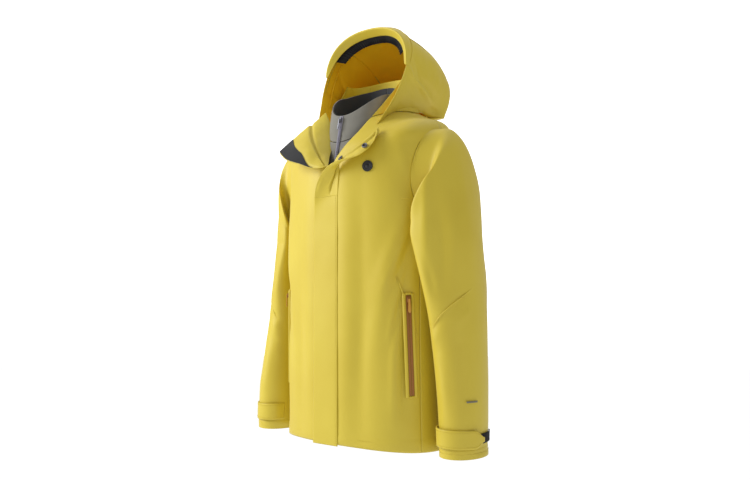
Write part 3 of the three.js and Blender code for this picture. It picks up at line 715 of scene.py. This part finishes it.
for side, sign in SIDES:
    def whole(u, v, sign=sign):
        return sleeve_at(sign, 2 * np.pi * u, SLEEVE_END * v)

    folds = sleeve_folds(sign, 31 if sign > 0 else 47, body_folds(sign, 5 if sign > 0 else 9))
    o = sheet(f"{side}_upper_sleeve_cloth", whole, 120, LENGTHS, CLOTH, TWO_SIDED, folds, sign < 0, True,
              slice(0, SPLIT + 1))
    start, end = (sign * 198, 0, 464), (sign * 264, 0, 418)
    finish_piece(o, "shell", "shell", f"{side}_sleeve_front", f"{side}_sleeve_back",
                 blend=(f"{side}_arm", start, end))
    o = sheet(f"{side}_lower_sleeve_cloth", whole, 120, LENGTHS, CLOTH, TWO_SIDED, folds, sign < 0, True,
              slice(SPLIT, None))
    finish_piece(o, f"{side}_arm", "shell", f"{side}_forearm", blend=elbow_bend(side, sign))


# ---------- hood ----------
CROWN_LOW, CROWN_HIGH, HOOD_END = 0.33, 0.67, len(HOOD) - 1
HOOD_FOLD = ((0, 100, 715), (0, 100, 800))
BRIM_DEPTH = 26


HOOD_FOLDS = (
    ((-96, -50, 872), (-112, 20, 800), 7, -4),
    ((-20, 60, 925), (-70, 110, 868), 8, -4.5),
    ((20, 70, 925), (60, 130, 856), 7, -4),
    ((-110, 10, 850), (-118, 60, 776), 6, 4),
    ((30, 140, 878), (104, 176, 790), 8, 4),
    ((30, 160, 852), (98, 184, 772), 8, -4.5),
    ((12, 186, 822), (60, 196, 752), 9, 3.6),
    ((60, 40, 905), (84, 110, 868), 14, -8),
    ((101, -26, 850), (119, 2, 799), 6, 5),
    ((119, 2, 799), (112, 74, 762), 6, 5),
    ((94, 6, 862), (117, 26, 806), 9, -5),
    ((117, 26, 806), (108, 96, 768), 8, -4),
    ((118, -42, 800), (119, 24, 740), 6, 4.5),
    ((118, -20, 780), (118, 50, 742), 7, -4.5),
    ((88, 60, 872), (104, 130, 806), 7, 4),
    ((116, 40, 745), (92, 150, 742), 7, -3.5),
    ((-100, -20, 850), (-112, 90, 800), 9, -5),
    ((-112, -20, 790), (-112, 80, 762), 8, 5),
    ((-60, 60, 895), (-90, 130, 850), 9, 4),
    ((-104, -30, 812), (-116, 40, 748), 7, -4.5),
    ((-30, 130, 880), (-84, 170, 800), 9, -4),
    ((20, 120, 880), (-20, 186, 800), 10, -4),
)


def hood_folds(p, u, v):
    h = ripple(p, 90, 2.2, 61) + ripple(p, 38, 0.8, 62) + ripple(p, 17, 0.16, 63)
    h = add_ridges(h, p, HOOD_FOLDS)
    return h * smooth(v * 9) * 1.15


def hood_panel(low, high):
    return lambda u, v: hood_at(mix(low, high, u), HOOD_END * v)


for name, low, high, width, flat in (("hood_crown", CROWN_LOW, CROWN_HIGH, 56, (0.19, 0.34)),
                                     ("hood_left_side", CROWN_HIGH, 1, 72, (0.27, 0.23)),
                                     ("hood_right_side", 0, CROWN_LOW, 72, (0.27, 0.23))):
    o = sheet(name + "_cloth", hood_panel(low, high), width, 96, CLOTH, TWO_SIDED, hood_folds)
    finish_piece(o, "shell", "shell", name, blend=("hood", *HOOD_FOLD))


def neck_panel_at(u, v):
    deg = mix(104, 256, u)
    table = SHELL[-1].copy()
    table[[0, 1, 2, 5, 6]] = 104, 60, 726, 98, 736
    inner = on_ring(np.broadcast_to(table, deg.shape + (8,)), deg)
    outer = hood_at(mix(1, 0, u), HOOD_END + 0 * u) * np.array([0.99, 1, 1])
    sag = np.array([0, 0, -1]) * (5 * np.sin(np.pi * v) + 5 * v * (1 - v))[..., None]
    return mix(inner, outer, v[..., None]) + sag


o = sheet("hood_neck_cloth", neck_panel_at, 70, 14, CLOTH, TWO_SIDED)
finish_piece(o, "shell", "shell", "hood_neck_panel", blend=("hood", *HOOD_FOLD))


def brim_reach(share):
    return BRIM_DEPTH * np.sin(np.pi * np.clip((share - 0.2) / 0.6, 0, 1)) ** 0.6


def inside_rim(share, inset, back):
    """Points along the rim, drawn in towards the middle of the opening and set back from it."""
    p = hood_at(share, 0 * share)
    middle = np.stack([0 * share, p[..., 1], 840 + 0 * share], -1)
    return mix(p, middle, np.asarray(inset)[..., None]) + np.stack([0 * share, back, 0 * share], -1)


def brim_at(u, v):
    share = mix(0.2, 0.8, u)
    reach = brim_reach(share)
    p = hood_at(share, 0 * share)
    front = p + np.stack([0 * u, -reach, -0.2 * reach], -1)
    facing = inside_rim(share, 0.02 + 0.18 * reach / BRIM_DEPTH, -0.3 * reach)
    over, under = np.clip(2 * v, 0, 1)[..., None], np.clip(2 * v - 1, 0, 1)[..., None]
    return mix(mix(p, front, over), facing, under)


o = sheet("hood_brim_cloth", brim_at, 120, 24, 1.6, [YELLOW])
finish_piece(o, "hood", "shell", "hood_brim")


def ruched(p, u, v):
    return 1.3 * np.sin(u * 260 + 2.5 * np.sin(u * 31)) * v


def grip_at(u, v):
    share = mix(0.27, 0.73, u)
    reach = brim_reach(share)
    return inside_rim(share, 0.02 + 0.16 * reach / BRIM_DEPTH + 0.18 * v, 1 - 0.3 * reach + 10 * v)


o = sheet("hood_grip_band", grip_at, 300, 12, 1.8, [GRIP], ruched, flip=True)
finish_piece(o, "hood", "grip", "hood_grip_strip")


# ---------- shell collar ----------
def collar_at(base, top, deg, k):
    b, t = (np.broadcast_to(r, np.shape(deg) + (8,)) for r in (base, top))
    return mix(on_ring(b, deg), on_ring(t, deg), k[..., None]) + np.array([0, 0, 1.5])


def collar_edge(k):
    return mix(V_END, 72, k)


def collar_part(start, end):
    return lambda u, v: collar_at(SHELL[-1], COLLAR_TOP, mix(start(v), end(v), u), v)


def soft(seed, height=1.2, scale=50):
    return lambda p, u, v: ripple(p, scale, height, seed) * np.sin(np.pi * np.clip(v, 0, 1))


for name, start, end, seed in (("left_collar", collar_edge, lambda v: 139.5 + 0 * v, 71),
                               ("back_collar", lambda v: 139.5 + 0 * v, lambda v: 220.5 + 0 * v, 72),
                               ("right_collar", lambda v: 220.5 + 0 * v, lambda v: 352 - collar_edge(v), 73)):
    # the collar's inside takes COLLAR, the lighter yellow painted in as light
    o = sheet(name + "_cloth", collar_part(start, end), 60, 30, 1.4, [YELLOW, COLLAR], soft(seed))
    finish_piece(o, "shell", "facing", name)


# ---------- front closing ----------
ZIP_TOP = 578

# sections of the storm flap and its turned-out top: sewn line, middle control, free edge
FLAP_SECTIONS = np.array([
    [(35, -156.6, 4), (2, -160, 4), (-31.5, -160, 4)],
    [(35, -156.6, 130), (2, -160, 130), (-31.5, -160.4, 130)],
    [(35, -156.6, 260), (2, -160, 260), (-31.5, -159.6, 260)],
    [(35, -156.6, 370), (2, -160, 370), (-31.5, -160.2, 370)],
    [(35, -156.6, 460), (2, -159.6, 460), (-31, -160.6, 460)],
    [(35, -156.6, 505), (0, -159, 504), (-27.5, -163.5, 504)],
    [(36, -156.6, 536), (-2, -157, 532), (-21.5, -168, 533)],
], float)
LAPEL_SECTIONS = np.array([
    [(36, -156.6, 536), (-2, -157, 532), (-21.5, -168, 533)],
    [(37, -157, 562), (3, -156, 552), (-11.5, -173, 557)],
    [(38, -156, 588), (20, -156, 566), (5.5, -176, 581)],
    [(39, -155, 606), (34, -160, 588), (28.5, -177, 597)],
    [(48, -151, 618), (52, -166, 600), (55, -175, 606)],
    [(72, -139, 635), (86, -160, 624), (93, -163, 613)],
    [(88, -128, 650), (104, -148, 640), (109.6, -150, 626)],
    [(100, -118, 664), (114, -134, 655), (118, -135, 645)],
    [(108, -108, 678), (117, -118, 672), (115, -118, 669)],
], float)
RIGHT_SECTIONS = np.array([
    [(8, -157, 598), (4, -165, 598), (0, -166, 596)],
    [(-14, -127, 628), (-26, -160, 622), (-30, -172, 597)],
    [(-24, -106, 652), (-48, -161, 651), (-62, -173, 607)],
    [(-44, -86, 690), (-78, -140, 684), (-104, -171, 619)],
    [(-72, -78, 735), (-92, -106, 708), (-138.6, -160, 638.6)],
], float)


def sections_at(table):
    """The surface whose sections are quadratic curves through the rows of the table."""
    def f(u, v):
        u, v = np.broadcast_arrays(u, v)
        rows = spline(table.reshape(len(table), 9), np.clip(v, 0, 1) * (len(table) - 1))
        a, b, c = (rows[..., 3 * i:3 * i + 3] for i in range(3))
        t = u[..., None]
        return (1 - t) ** 2 * a + 2 * t * (1 - t) * b + t * t * c
    return f


overlap_at = sections_at(np.concatenate([FLAP_SECTIONS, LAPEL_SECTIONS[1:]]))
right_lapel_at = sections_at(RIGHT_SECTIONS)


def flap_at(u, v):
    return overlap_at(u, v * 6 / 14)


def left_lapel_at(u, v):
    return overlap_at(u, (6 + 8 * v) / 14)


def flap_waves(p, u, v):
    return (0.9 * np.sin(p[..., 2] / 34 + 1) * u**2 + ripple(p, 60, 0.35, 77)) * smooth((1 - v) * 9)


o = sheet("storm_flap_cloth", flap_at, steps(26, 0.08, 0.93), 170, 1.8, [YELLOW], flap_waves, True)
finish_piece(o, "flap", "shell", "storm_flap")

for side, sign in SIDES:
    zip_frame = ((0, -147, 0), (1, 0, 0), (0, 1, 0), (0, 0, 1))
    o = block(f"{side}_zip_tape", (13.4, 1.1, 562), CHARCOAL, 0.3, zip_frame, (sign * 7.2, 0, 286))
    finish_piece(o, "shell", "charcoal", f"{side}_main_zip_tape")
    teeth = [(sign * 1.3, -148.6, 6 + 2.6 * i + (0 if sign > 0 else 1.3)) for i in range(214)]
    finish_piece(small_boxes(f"{side}_zip_teeth", teeth, (1.1, 0.9, 0.8), RUBBER), "shell", "charcoal")

o = block("main_slider", (10, 4.6, 17), METAL, 1.4, None, (0, -151, ZIP_TOP - 21.5))
finish_piece(o, "main_runner", "metal", "main_zip_slider")
o = block("main_puller", (6.6, 1.5, 33), GRIP, 0.7, None, (0, -154.8, ZIP_TOP - 35))
finish_piece(o, "main_pull", "charcoal", "main_zip_puller")


def guard_at(u, v):
    return np.stack([mix(-20, 20, u), -143.4 + 0.5 * np.sin(v * 14), mix(4, ZIP_TOP - 10, v)], -1)


o = finish_piece(sheet("inner_guard_cloth", guard_at, 12, 90, 1.1, [FACING]), "shell", "facing")


def lapel_folds(seed, line):
    """Soft folds, and the edge of the layer beneath that shows along the line."""
    def relief(p, u, v):
        inside = smooth(u * 4) * smooth((1 - u) * 5) * smooth(v * 6)
        soft_part = (ripple(p, 55, 1.3, seed) + ripple(p, 20, 0.22, seed + 4)) * inside
        step = 2.4 * smooth((u - line) / 0.05) - 3 * np.exp(-(((u - line) / 0.035) ** 2))
        return soft_part + step * smooth(v * 8) * smooth((1 - u) * 6)
    return relief


o = sheet("left_lapel_cloth", left_lapel_at, steps(44, 0.93), 130, 2, [YELLOW, LAPEL], lapel_folds(81, 0.3),
          flip=True)
finish_piece(o, "shell", "lapel", "left_lapel")
o = sheet("right_lapel_cloth", right_lapel_at, 60, 100, 2, [LAPEL, YELLOW], lapel_folds(82, 0.4), flip=True)
finish_piece(o, "shell", "lapel", "right_lapel")


def chin_edge(v):
    return mix(0.985, 0.76, smooth(v / 0.5))


def chin_at(u, v):
    return right_lapel_at(mix(chin_edge(v), 0.99, u), mix(0.2, 0.99, v))


o = sheet("chin_guard_cloth", chin_at, 26, 60, 1.2, [CHARCOAL], lambda p, u, v: 3.6 + ripple(p, 55, 1.3, 82),
          True)
finish_piece(o, "shell", "charcoal", "chin_guard")


def facing_out(f, u, v):
    e = 1e-3
    u, v = np.array(float(u)), np.array(float(v))
    n = np.cross(f(u + e, v) - f(u - e, v), f(u, v + e) - f(u, v - e))
    n = n / np.linalg.norm(n)
    return f(u, v), n if n @ (0.5, -0.6, 0.6) > 0 else -n


SOCKET = [(0, 0), (6.2, 0), (6.4, 1.2), (5.9, 2.2), (5.0, 2.6), (4.0, 2.3), (3.4, 1.4), (3.0, 0.9), (0, 0.8)]
STUD = [(0, 0), (5, 0), (5, 0.8), (3, 1.2), (2.6, 2.3), (1.6, 2.8), (0, 2.9)]
for name, u, v, lift in (("lower", 0.25, 0.5, 4), ("upper", 0.7, 0.75, 3.2)):
    at, n = facing_out(left_lapel_at, u, v)
    o = lathe(f"{name}_snap_ring", SOCKET, at + n * lift, n, [GUNMETAL, RUBBER], [0, 0, 0, 0, 0, 1, 1, 1])
    finish_piece(o, "shell", "metal", f"{name}_snap_socket")
for name, u, v in (("lower", 0.16, 0.42), ("upper", 0.3, 0.62)):
    at, n = facing_out(lambda a, b: shell_at(-60 * a, mix(2.74, NECK, b)), u, v)
    finish_piece(lathe(f"{name}_snap_post", STUD, at + n * 0.6, n, [METAL]), "shell", "metal",
                 f"{name}_snap_stud")

BADGE = [(0, 0), (11.6, 0), (12, 0.6), (11.7, 1.5), (10.6, 1.7), (9.9, 1.2), (8.8, 1.1), (8, 1.6), (7, 1.7),
         (6.4, 1.2), (4.4, 1.1), (3.6, 1.7), (0, 1.8)]
at, n = facing_out(lambda a, b: shell_at(mix(10, 60, a), mix(2.74, NECK, b)), 0.33, 0.195)
finish_piece(lathe("round_chest_badge", BADGE, at + n, n, [RUBBER]), "shell", "rubber", "chest_badge")

# ---------- hand pockets ----------
POCKET_TOP, POCKET_LOW = (57.6, 1.42), (60.4, 0.56)


def pocket_frame(sign):
    low, high = (shell_at(*map(np.array, map(float, p))) for p in (POCKET_LOW, POCKET_TOP))
    length = np.linalg.norm(high - low)
    along = (high - low) / length
    deg, pos = mix(POCKET_LOW[0], POCKET_TOP[0], 0.5), mix(POCKET_LOW[1], POCKET_TOP[1], 0.5)
    across = shell_at(np.array(deg + 3), np.array(pos)) - shell_at(np.array(deg - 3), np.array(pos))
    across -= along * (across @ along)
    across /= np.linalg.norm(across)
    out = np.cross(across, along)
    mirror = np.array([sign, 1, 1])
    return [a * mirror for a in (low, across, out, along)], length


def drop_outline(length, wide, narrow):
    """Half of a teardrop, top to tip: pairs of half width and height."""
    t = np.linspace(0, 1, 16)
    return np.stack([mix(narrow, wide, t**1.5) * np.sqrt(np.clip(1 - np.clip((t - 0.72) / 0.28, 0, 1) ** 2,
                                                                 0, 1)),
                     -length * t], 1)


def plate(name, half, thick, frame_at, centre, material, bevel=0.5):
    """A flat symmetric plate cut to the half outline (half width, height), in frame_at's axes."""
    right = np.array([(w, h) for w, h in half])
    left = right[::-1] * np.array([-1, 1])
    outline = [tuple(p) for p in np.concatenate([right, left])]
    loop = [p for i, p in enumerate(outline) if math.dist(p, outline[i - 1]) > 0.05]
    origin, x, y, z = (np.array(a, float) for a in frame_at)
    at = origin + centre[0] * x + centre[1] * y + centre[2] * z
    points = [at + w * x + s * thick / 2 * y + h * z for s in (-1, 1) for w, h in loop]
    n = len(loop)
    faces = [tuple(range(n)), tuple(range(2 * n - 1, n - 1, -1))]
    faces += [(i, i + n, (i + 1) % n + n, (i + 1) % n) for i in range(n)]
    o = plain_object(name, points, faces, [material])
    fix_sides(o)
    round_edges(o, bevel, 2)
    return o


def fixed_block(*args):
    o = block(*args)
    fix_sides(o)
    return o


def fix_sides(o):
    b = bmesh.new()
    b.from_mesh(o.data)
    bmesh.ops.recalc_face_normals(b, faces=b.faces)
    b.to_mesh(o.data)
    b.free()


for side, sign in SIDES:
    at, length = pocket_frame(sign)
    for half, shift in (("inner", -2.75), ("outer", 2.75)):
        o = fixed_block(f"{side}_pocket_tape_{half}", (5.2, 1.4, length), OCHRE, 0.5, at,
                        (shift, 4.0, length / 2))
        finish_piece(o, "shell", "ochre", *([f"{side}_pocket_zip"] if half == "inner" else []))
    for edge, shift in (("front", -7.6), ("back", 7.6)):
        o = fixed_block(f"{side}_pocket_lip_{edge}", (8, 6, length + 10), YELLOW, 2.8, at,
                        (1.2 * shift, 1.7, length / 2))
        finish_piece(o, "shell", "shell")
    for end, z in (("low", -3.4), ("high", length + 3.4)):
        o = fixed_block(f"{side}_pocket_end_{end}", (12, 5.2, 5.2), YELLOW, 1.7, at, (0, 1.9, z))
        finish_piece(o, "shell", "shell")
    o = fixed_block(f"{side}_pocket_runner_body", (8, 3, 10), OCHRE, 1, at, (0, 7.5, length - 9))
    finish_piece(o, f"{side}_pocket_runner", "ochre", f"{side}_pocket_slider")
    o = plate(f"{side}_pocket_drop", drop_outline(29, 3.9, 1.9), 1.7, at, (0, 10.4, length - 7), PULL)
    finish_piece(o, f"{side}_pocket_pull", "puller", f"{side}_pocket_puller")

    def bag_at(u, v, sign=sign):
        return shell_at(mix(26, 62, u), mix(0.28, 1.6, v)) * np.array([sign, 1, 1])

    o = sheet(f"{side}_pocket_bag_cloth", lambda u, v, f=bag_at, s=sign: f(u, v) - normals(f(u, v)) * 4 * s,
              26, 40, 2.2,
              [FACING], flip=sign < 0)
    finish_piece(o, "shell", "facing", f"{side}_pocket_bag")

# ---------- hanger loop ----------
LOOP_Y, LOOP_Z = 76, 757
loop = block("loop_strap", (58, 2.6, 7.6), GRIP, 1, None, (0, LOOP_Y, LOOP_Z + 4.2))
finish_piece(loop, "shell", "charcoal", "hanger_loop")
for name, x in (("left", 26), ("right", -26)):
    finish_piece(block(f"loop_leg_{name}", (7.4, 2.4, 20), GRIP, 1, None, (x, LOOP_Y, LOOP_Z - 3)), "shell",
                 "charcoal")


# ---------- liner ----------
def liner_front_limit(pos):
    return np.where(pos < ARMHOLE_MID - ARMHOLE_HALF, 90, 90 - armhole_deg(pos))


def liner_front_at(u, v):
    pos = NECK * v
    r = spline(LINER, pos)
    centre = np.degrees(np.arcsin((3 / r[..., 0]) ** (r[..., 7] / 2)))
    return liner_at(mix(centre, liner_front_limit(pos), u), pos)


def liner_back_at(u, v):
    pos = NECK * v
    edge = liner_front_limit(pos)
    return liner_at(mix(180 - edge, 180 + edge, u), pos)


def knit(seed):
    return lambda p, u, v: ripple(p, 110, 1.1, seed, (1, 1, 3)) * np.sin(np.pi * np.clip(v, 0, 1)) ** 0.3


LINER_BOTH = [LINER_GREY, LINER_DARK]
for side, sign in SIDES:
    o = sheet(f"liner_{side}_front_cloth", sided(sign, liner_front_at), 40, 110, 1.6, LINER_BOTH, knit(91),
              flip=sign < 0)
    finish_piece(o, "shell", "liner", f"liner_{side}_front")

    def stand_at(u, v, sign=sign):
        bow = 2.4 * np.sin(np.pi * v) * np.sin(np.pi * np.clip(u * 1.2, 0, 1))
        lift = (16 if sign < 0 else 6) * v * np.exp(-(((u - 0.62) / 0.2) ** 2))
        p = collar_at(LINER[-1], LINER_TOP, mix(0.55, 180, u), v) - np.stack([0 * u, bow, -lift], -1)
        return p * np.array([sign, 1, 1])

    o = sheet(f"liner_{side}_stand_collar", stand_at, 90, 34, 2.2, LINER_BOTH, soft(93, 0.9, 40),
              flip=sign < 0)
    finish_piece(o, "shell", "liner", f"liner_{side}_collar")
o = sheet("liner_back_cloth", liner_back_at, 80, 110, 1.6, LINER_BOTH, knit(92))
finish_piece(o, "shell", "liner", "liner_back")

ZIP_LOW, ZIP_HIGH = np.array([0, -133, 560.0]), np.array([0, -102, 715.0])
LINER_ZIP = np.linalg.norm(ZIP_HIGH - ZIP_LOW)
UP = (ZIP_HIGH - ZIP_LOW) / LINER_ZIP
LINER_FRAME = (ZIP_LOW, (1, 0, 0), np.cross(UP, (1, 0, 0)), UP)
for side, sign in SIDES:
    o = fixed_block(f"liner_{side}_tape", (3.2, 3.6, LINER_ZIP), COIL, 0.8, LINER_FRAME,
                    (sign * 2, -1.4, LINER_ZIP / 2))
    finish_piece(o, "shell", "coil", f"liner_{side}_zip_tape")
    rungs = [(sign * 1.0, -3.6, 1.5 + 1.7 * i + (0 if sign > 0 else 0.85)) for i in range(90)]
    o = small_boxes(f"liner_{side}_coil", rungs, (1.3, 0.6, 0.5), COIL, LINER_FRAME)
    fix_sides(o)
    finish_piece(o, "shell", "coil")
o = block("liner_slider_body", (8.6, 3.4, 12), COIL, 1.1, LINER_FRAME, (0, -5.8, LINER_ZIP - 10))
o.data.materials[0] = GUNMETAL
fix_sides(o)
finish_piece(o, "liner_runner", "coil", "liner_zip_slider")
o = plate("liner_pull_plate", drop_outline(26, 2.6, 1.7), 1.5, LINER_FRAME, (0, -9, LINER_ZIP - 8), GUNMETAL)
finish_piece(o, "liner_pull", "metal", "liner_zip_puller")


# ---------- cuffs ----------
def cuff_at(sign, deg, z, out):
    high, low = TUBE[-2], TUBE[-1]
    k = np.clip((z - low[0]) / (high[0] - low[0]), -0.2, 1.2)
    r = [mix(a, b, k) for a, b in zip(low, high)]
    turn = np.radians(deg)
    c = np.cos(turn)
    lean = 0 if sign > 0 else np.interp(z, RIGHT_LEAN[:, 0], RIGHT_LEAN[:, 1])
    x = r[1] + c * (np.where(c > 0, r[2], r[3]) + out)
    return np.stack([sign * x, r[4] + lean - (r[5] + out) * np.sin(turn), z + 0 * deg], -1)


TAB_FROM, TAB_TO, TAB_LOW, TAB_HIGH = 150, 0, 19, 57
for side, sign in SIDES:
    def tab_at(u, v, sign=sign):
        point = smooth((u - 0.86) / 0.14) * np.abs(v - 0.45)
        z = mix(TAB_LOW, TAB_HIGH, 0.45 + (v - 0.45) * (1 - 0.75 * smooth((u - 0.84) / 0.16)))
        out = 5.4 - 4.2 * smooth(1 - u / 0.16) - 1.0 * point + 0.8 * np.sin(u * 7)
        return cuff_at(sign, mix(TAB_FROM, TAB_TO, u), z - 3 * u, out)

    def patch_at(u, v, sign=sign):
        return cuff_at(sign, mix(24, -50, u), mix(25, 45, v), 2.4 + 0 * u)

    def hook_at(u, v, sign=sign):
        return cuff_at(sign, mix(22, 4, u), mix(26, 42, v), 3.7 + 0 * u)

    lower_arm = f"{side}_lower_arm"
    o = sheet(f"{side}_tab_cloth", tab_at, steps(70, 0.97), steps(14, 0.1, 0.9), 2, [YELLOW], flip=sign < 0)
    finish_piece(o, f"{side}_tab", "shell", f"{side}_cuff_tab")
    o = sheet(f"{side}_loop_tape", patch_at, 60, 16, 1.6, [GRIP], lambda p, u, v: 0.5 * ripple(p, 3, 0.5, 8),
              flip=sign < 0)
    finish_piece(o, lower_arm, "grip", f"{side}_cuff_loop_patch")
    o = sheet(f"{side}_hook_tape", hook_at, 16, 12, 0.9, [CHARCOAL], flip=sign < 0)
    finish_piece(o, f"{side}_tab", "charcoal", f"{side}_cuff_hook_pad")
    for k, v_line in enumerate((0.12, 0.88)):
        sewn(tab_at, lambda s, w=v_line: (mix(0.03, 0.93, s), w + 0 * s),
             f"{side}_tab_stitches_{k}", f"{side}_tab", flip=sign < 0)


def mark_at(u, v):
    return sleeve_at(1, np.radians(mix(40, 16, u)), mix(7.90, 7.925, v))


o = sheet("sleeve_reflective_mark", lambda u, v: mark_at(u, v) - normals(mark_at(u, v)) * 2.2, 24, 4, 0.5,
          [REFLECT],
          flip=True)
finish_piece(o, "left_lower_arm", "grip")


# ---------- seams and stitches ----------
def body_uv(sign):
    return lambda deg, pos: shell_at(deg, pos) * np.array([sign, 1, 1])


for side, sign in SIDES:
    f, back = body_uv(sign), sign < 0
    welt(f, lambda s: (mix(51, 62, s), mix(2.69, 2.67, s)), f"{side}_yoke_seam", "shell", 2.2, 0.6,
         flip=back, n=24)
    sewn(f, lambda s: (mix(47.5, 67.6, s), mix(1.6, 0.98, s)), f"{side}_pocket_seam_stitches", "shell",
         flip=back)
    welt(f, lambda s: (mix(48.2, 67.9, s), mix(1.61, 0.99, s)), f"{side}_pocket_seam", "shell", 4, 1.5,
         flip=back, n=60)
    sewn(f, lambda s: (mix(52.6, 50.6, s), mix(0.5, 1.42, s)), f"{side}_welt_stitches", "shell", flip=back,
         lift=0.8)
    sewn(f, lambda s: (mix(3, 67, s), 0.118 + 0 * s), f"{side}_hem_stitches", "shell", flip=back, lift=0.6)
sewn(body_uv(1), lambda s: (mix(9.2, 8.4, s), mix(0.03, 2.9, s)), "flap_seam_stitches", "shell", lift=1.2)
sewn(flap_at, lambda s: (0.08 + 0 * s, mix(0.01, 0.99, s)), "flap_edge_stitches", "flap", lift=0.3, flip=True)
sewn(left_lapel_at, lambda s: (0.86 + 0 * s, mix(0.35, 0.98, s)), "left_lapel_stitches", "shell", lift=0.4)
for k, shift in enumerate((0.03, 0.2)):
    sewn(right_lapel_at, lambda s, w=shift: (chin_edge(s) - w, mix(0.2, 0.98, s)),
         f"right_lapel_stitches_{k}", "shell",
         lift=0.4, flip=True)
for side, sign in SIDES:
    def sleeve_uv(deg, pos, sign=sign):
        return sleeve_at(sign, np.radians(deg), pos)

    def elbow_path(s):
        deg = mix(-42, 98, s)
        return deg, np.interp(deg, (-42, -7, 47, 80, 98), (6.06, 5.96, 6.5, 6.82, 6.98))

    welt(sleeve_uv, elbow_path, f"{side}_elbow_seam", f"{side}_arm", 2.6, 0.8, flip=sign < 0,
         blend=elbow_bend(side, sign), n=120)
    sewn(sleeve_uv, lambda s: (mix(-180, 180, s), 8.83 + 0 * s), f"{side}_cuff_stitches", f"{side}_lower_arm",
         flip=sign < 0, lift=0.7)
    welt(sleeve_uv, lambda s: (mix(-120, 120, s), 0.1 + 0 * s), f"{side}_armhole_seam", "shell", 2.4, 0.9,
         flip=sign < 0,
         n=160)
for name, share, sign in (("left", CROWN_HIGH, 1), ("right", CROWN_LOW, -1)):
    welt(hood_at, lambda s, w=share: (w + 0 * s, mix(0.02, 3.96, s)), f"hood_{name}_seam", "shell", 2.8, 0.8,
         blend=("hood", *HOOD_FOLD), n=120)
    welt(hood_at, lambda s, w=sign: (0.5 + w * mix(0.06, 0.47, s), mix(0.3, 0.2, s)), f"hood_{name}_rim_seam",
         "shell", 2.4, 0.9, blend=("hood", *HOOD_FOLD), n=100)
    welt(lambda a, b: hood_at(a, b) * np.array([0.975, 1, 1]), lambda s,
         w=sign: (0.5 + w * mix(0.2, 0.42, s), 0.5 + 0.2 * s),
         f"hood_{name}_inner_seam", "shell", 3, 1.2, material=FACING, blend=("hood", *HOOD_FOLD), n=60)

# ---------- light and floor ----------
world = bpy.data.worlds.new("world")
world.use_nodes = True
world.node_tree.nodes["Background"].inputs["Color"].default_value = (1, 0.975, 0.92, 1)
world.node_tree.nodes["Background"].inputs["Strength"].default_value = 0.42
scene.world = world
scene.view_settings.view_transform = "Standard"


def softbox(name, size, power, at, target=(0, -60, 420), colour=(1, 1, 1)):
    light = bpy.data.lights.new(name, "AREA")
    light.shape, light.size, light.size_y = "RECTANGLE", size[0], size[1]
    light.energy, light.color = power, colour
    o = bpy.data.objects.new(name, light)
    o.location = place(at)
    o.rotation_euler = (Vector(place(target)) - o.location).to_track_quat("-Z", "Y").to_euler()
    scene.collection.objects.link(o)


softbox("key", (1.3, 1.9), 70, (-1800, -1800, 1500))
softbox("fill", (1.6, 2.0), 3, (2400, -900, 700))
softbox("top", (2.0, 1.4), 10, (200, 500, 2300))

FLOOR_Z, FLOOR_HALF = -420, 6000
BACKDROP_RADIUS, BACKDROP_TOP, BACKDROP_SIDES = 5400, 5200, 96


def glowing(name, strength, **inputs):
    m, _, bsdf = new_material(name)
    bsdf.inputs["Emission Color"].default_value = (1, 1, 1, 1)
    bsdf.inputs["Emission Strength"].default_value = strength
    for key, value in inputs.items():
        bsdf.inputs[key.replace("_", " ")].default_value = value
    return m


def staged(name, points, faces, material):
    o = plain_object(name, points, faces, [material])
    return o


floor_corners = [(i * FLOOR_HALF, j * FLOOR_HALF, FLOOR_Z) for i, j in ((-1, -1), (1, -1), (1, 1), (-1, 1))]
paper = glowing("paper", 0.94, Base_Color=(0.12, 0.12, 0.12, 1), Roughness=0.9)
staged("floor", floor_corners, [(0, 1, 2, 3)], paper)

# a white backdrop all round, that is seen but lights nothing
turns = np.linspace(0, 2 * np.pi, BACKDROP_SIDES, endpoint=False)
ring_points = [(BACKDROP_RADIUS * math.cos(t), BACKDROP_RADIUS * math.sin(t), z)
               for z in (FLOOR_Z, BACKDROP_TOP) for t in turns]
ring_faces = [(i, (i + 1) % BACKDROP_SIDES, BACKDROP_SIDES + (i + 1) % BACKDROP_SIDES, BACKDROP_SIDES + i)
              for i in range(BACKDROP_SIDES)]
backdrop = staged("backdrop", ring_points, ring_faces, glowing("white_backdrop", 1.0))
backdrop.visible_diffuse = backdrop.visible_glossy = backdrop.visible_shadow = False
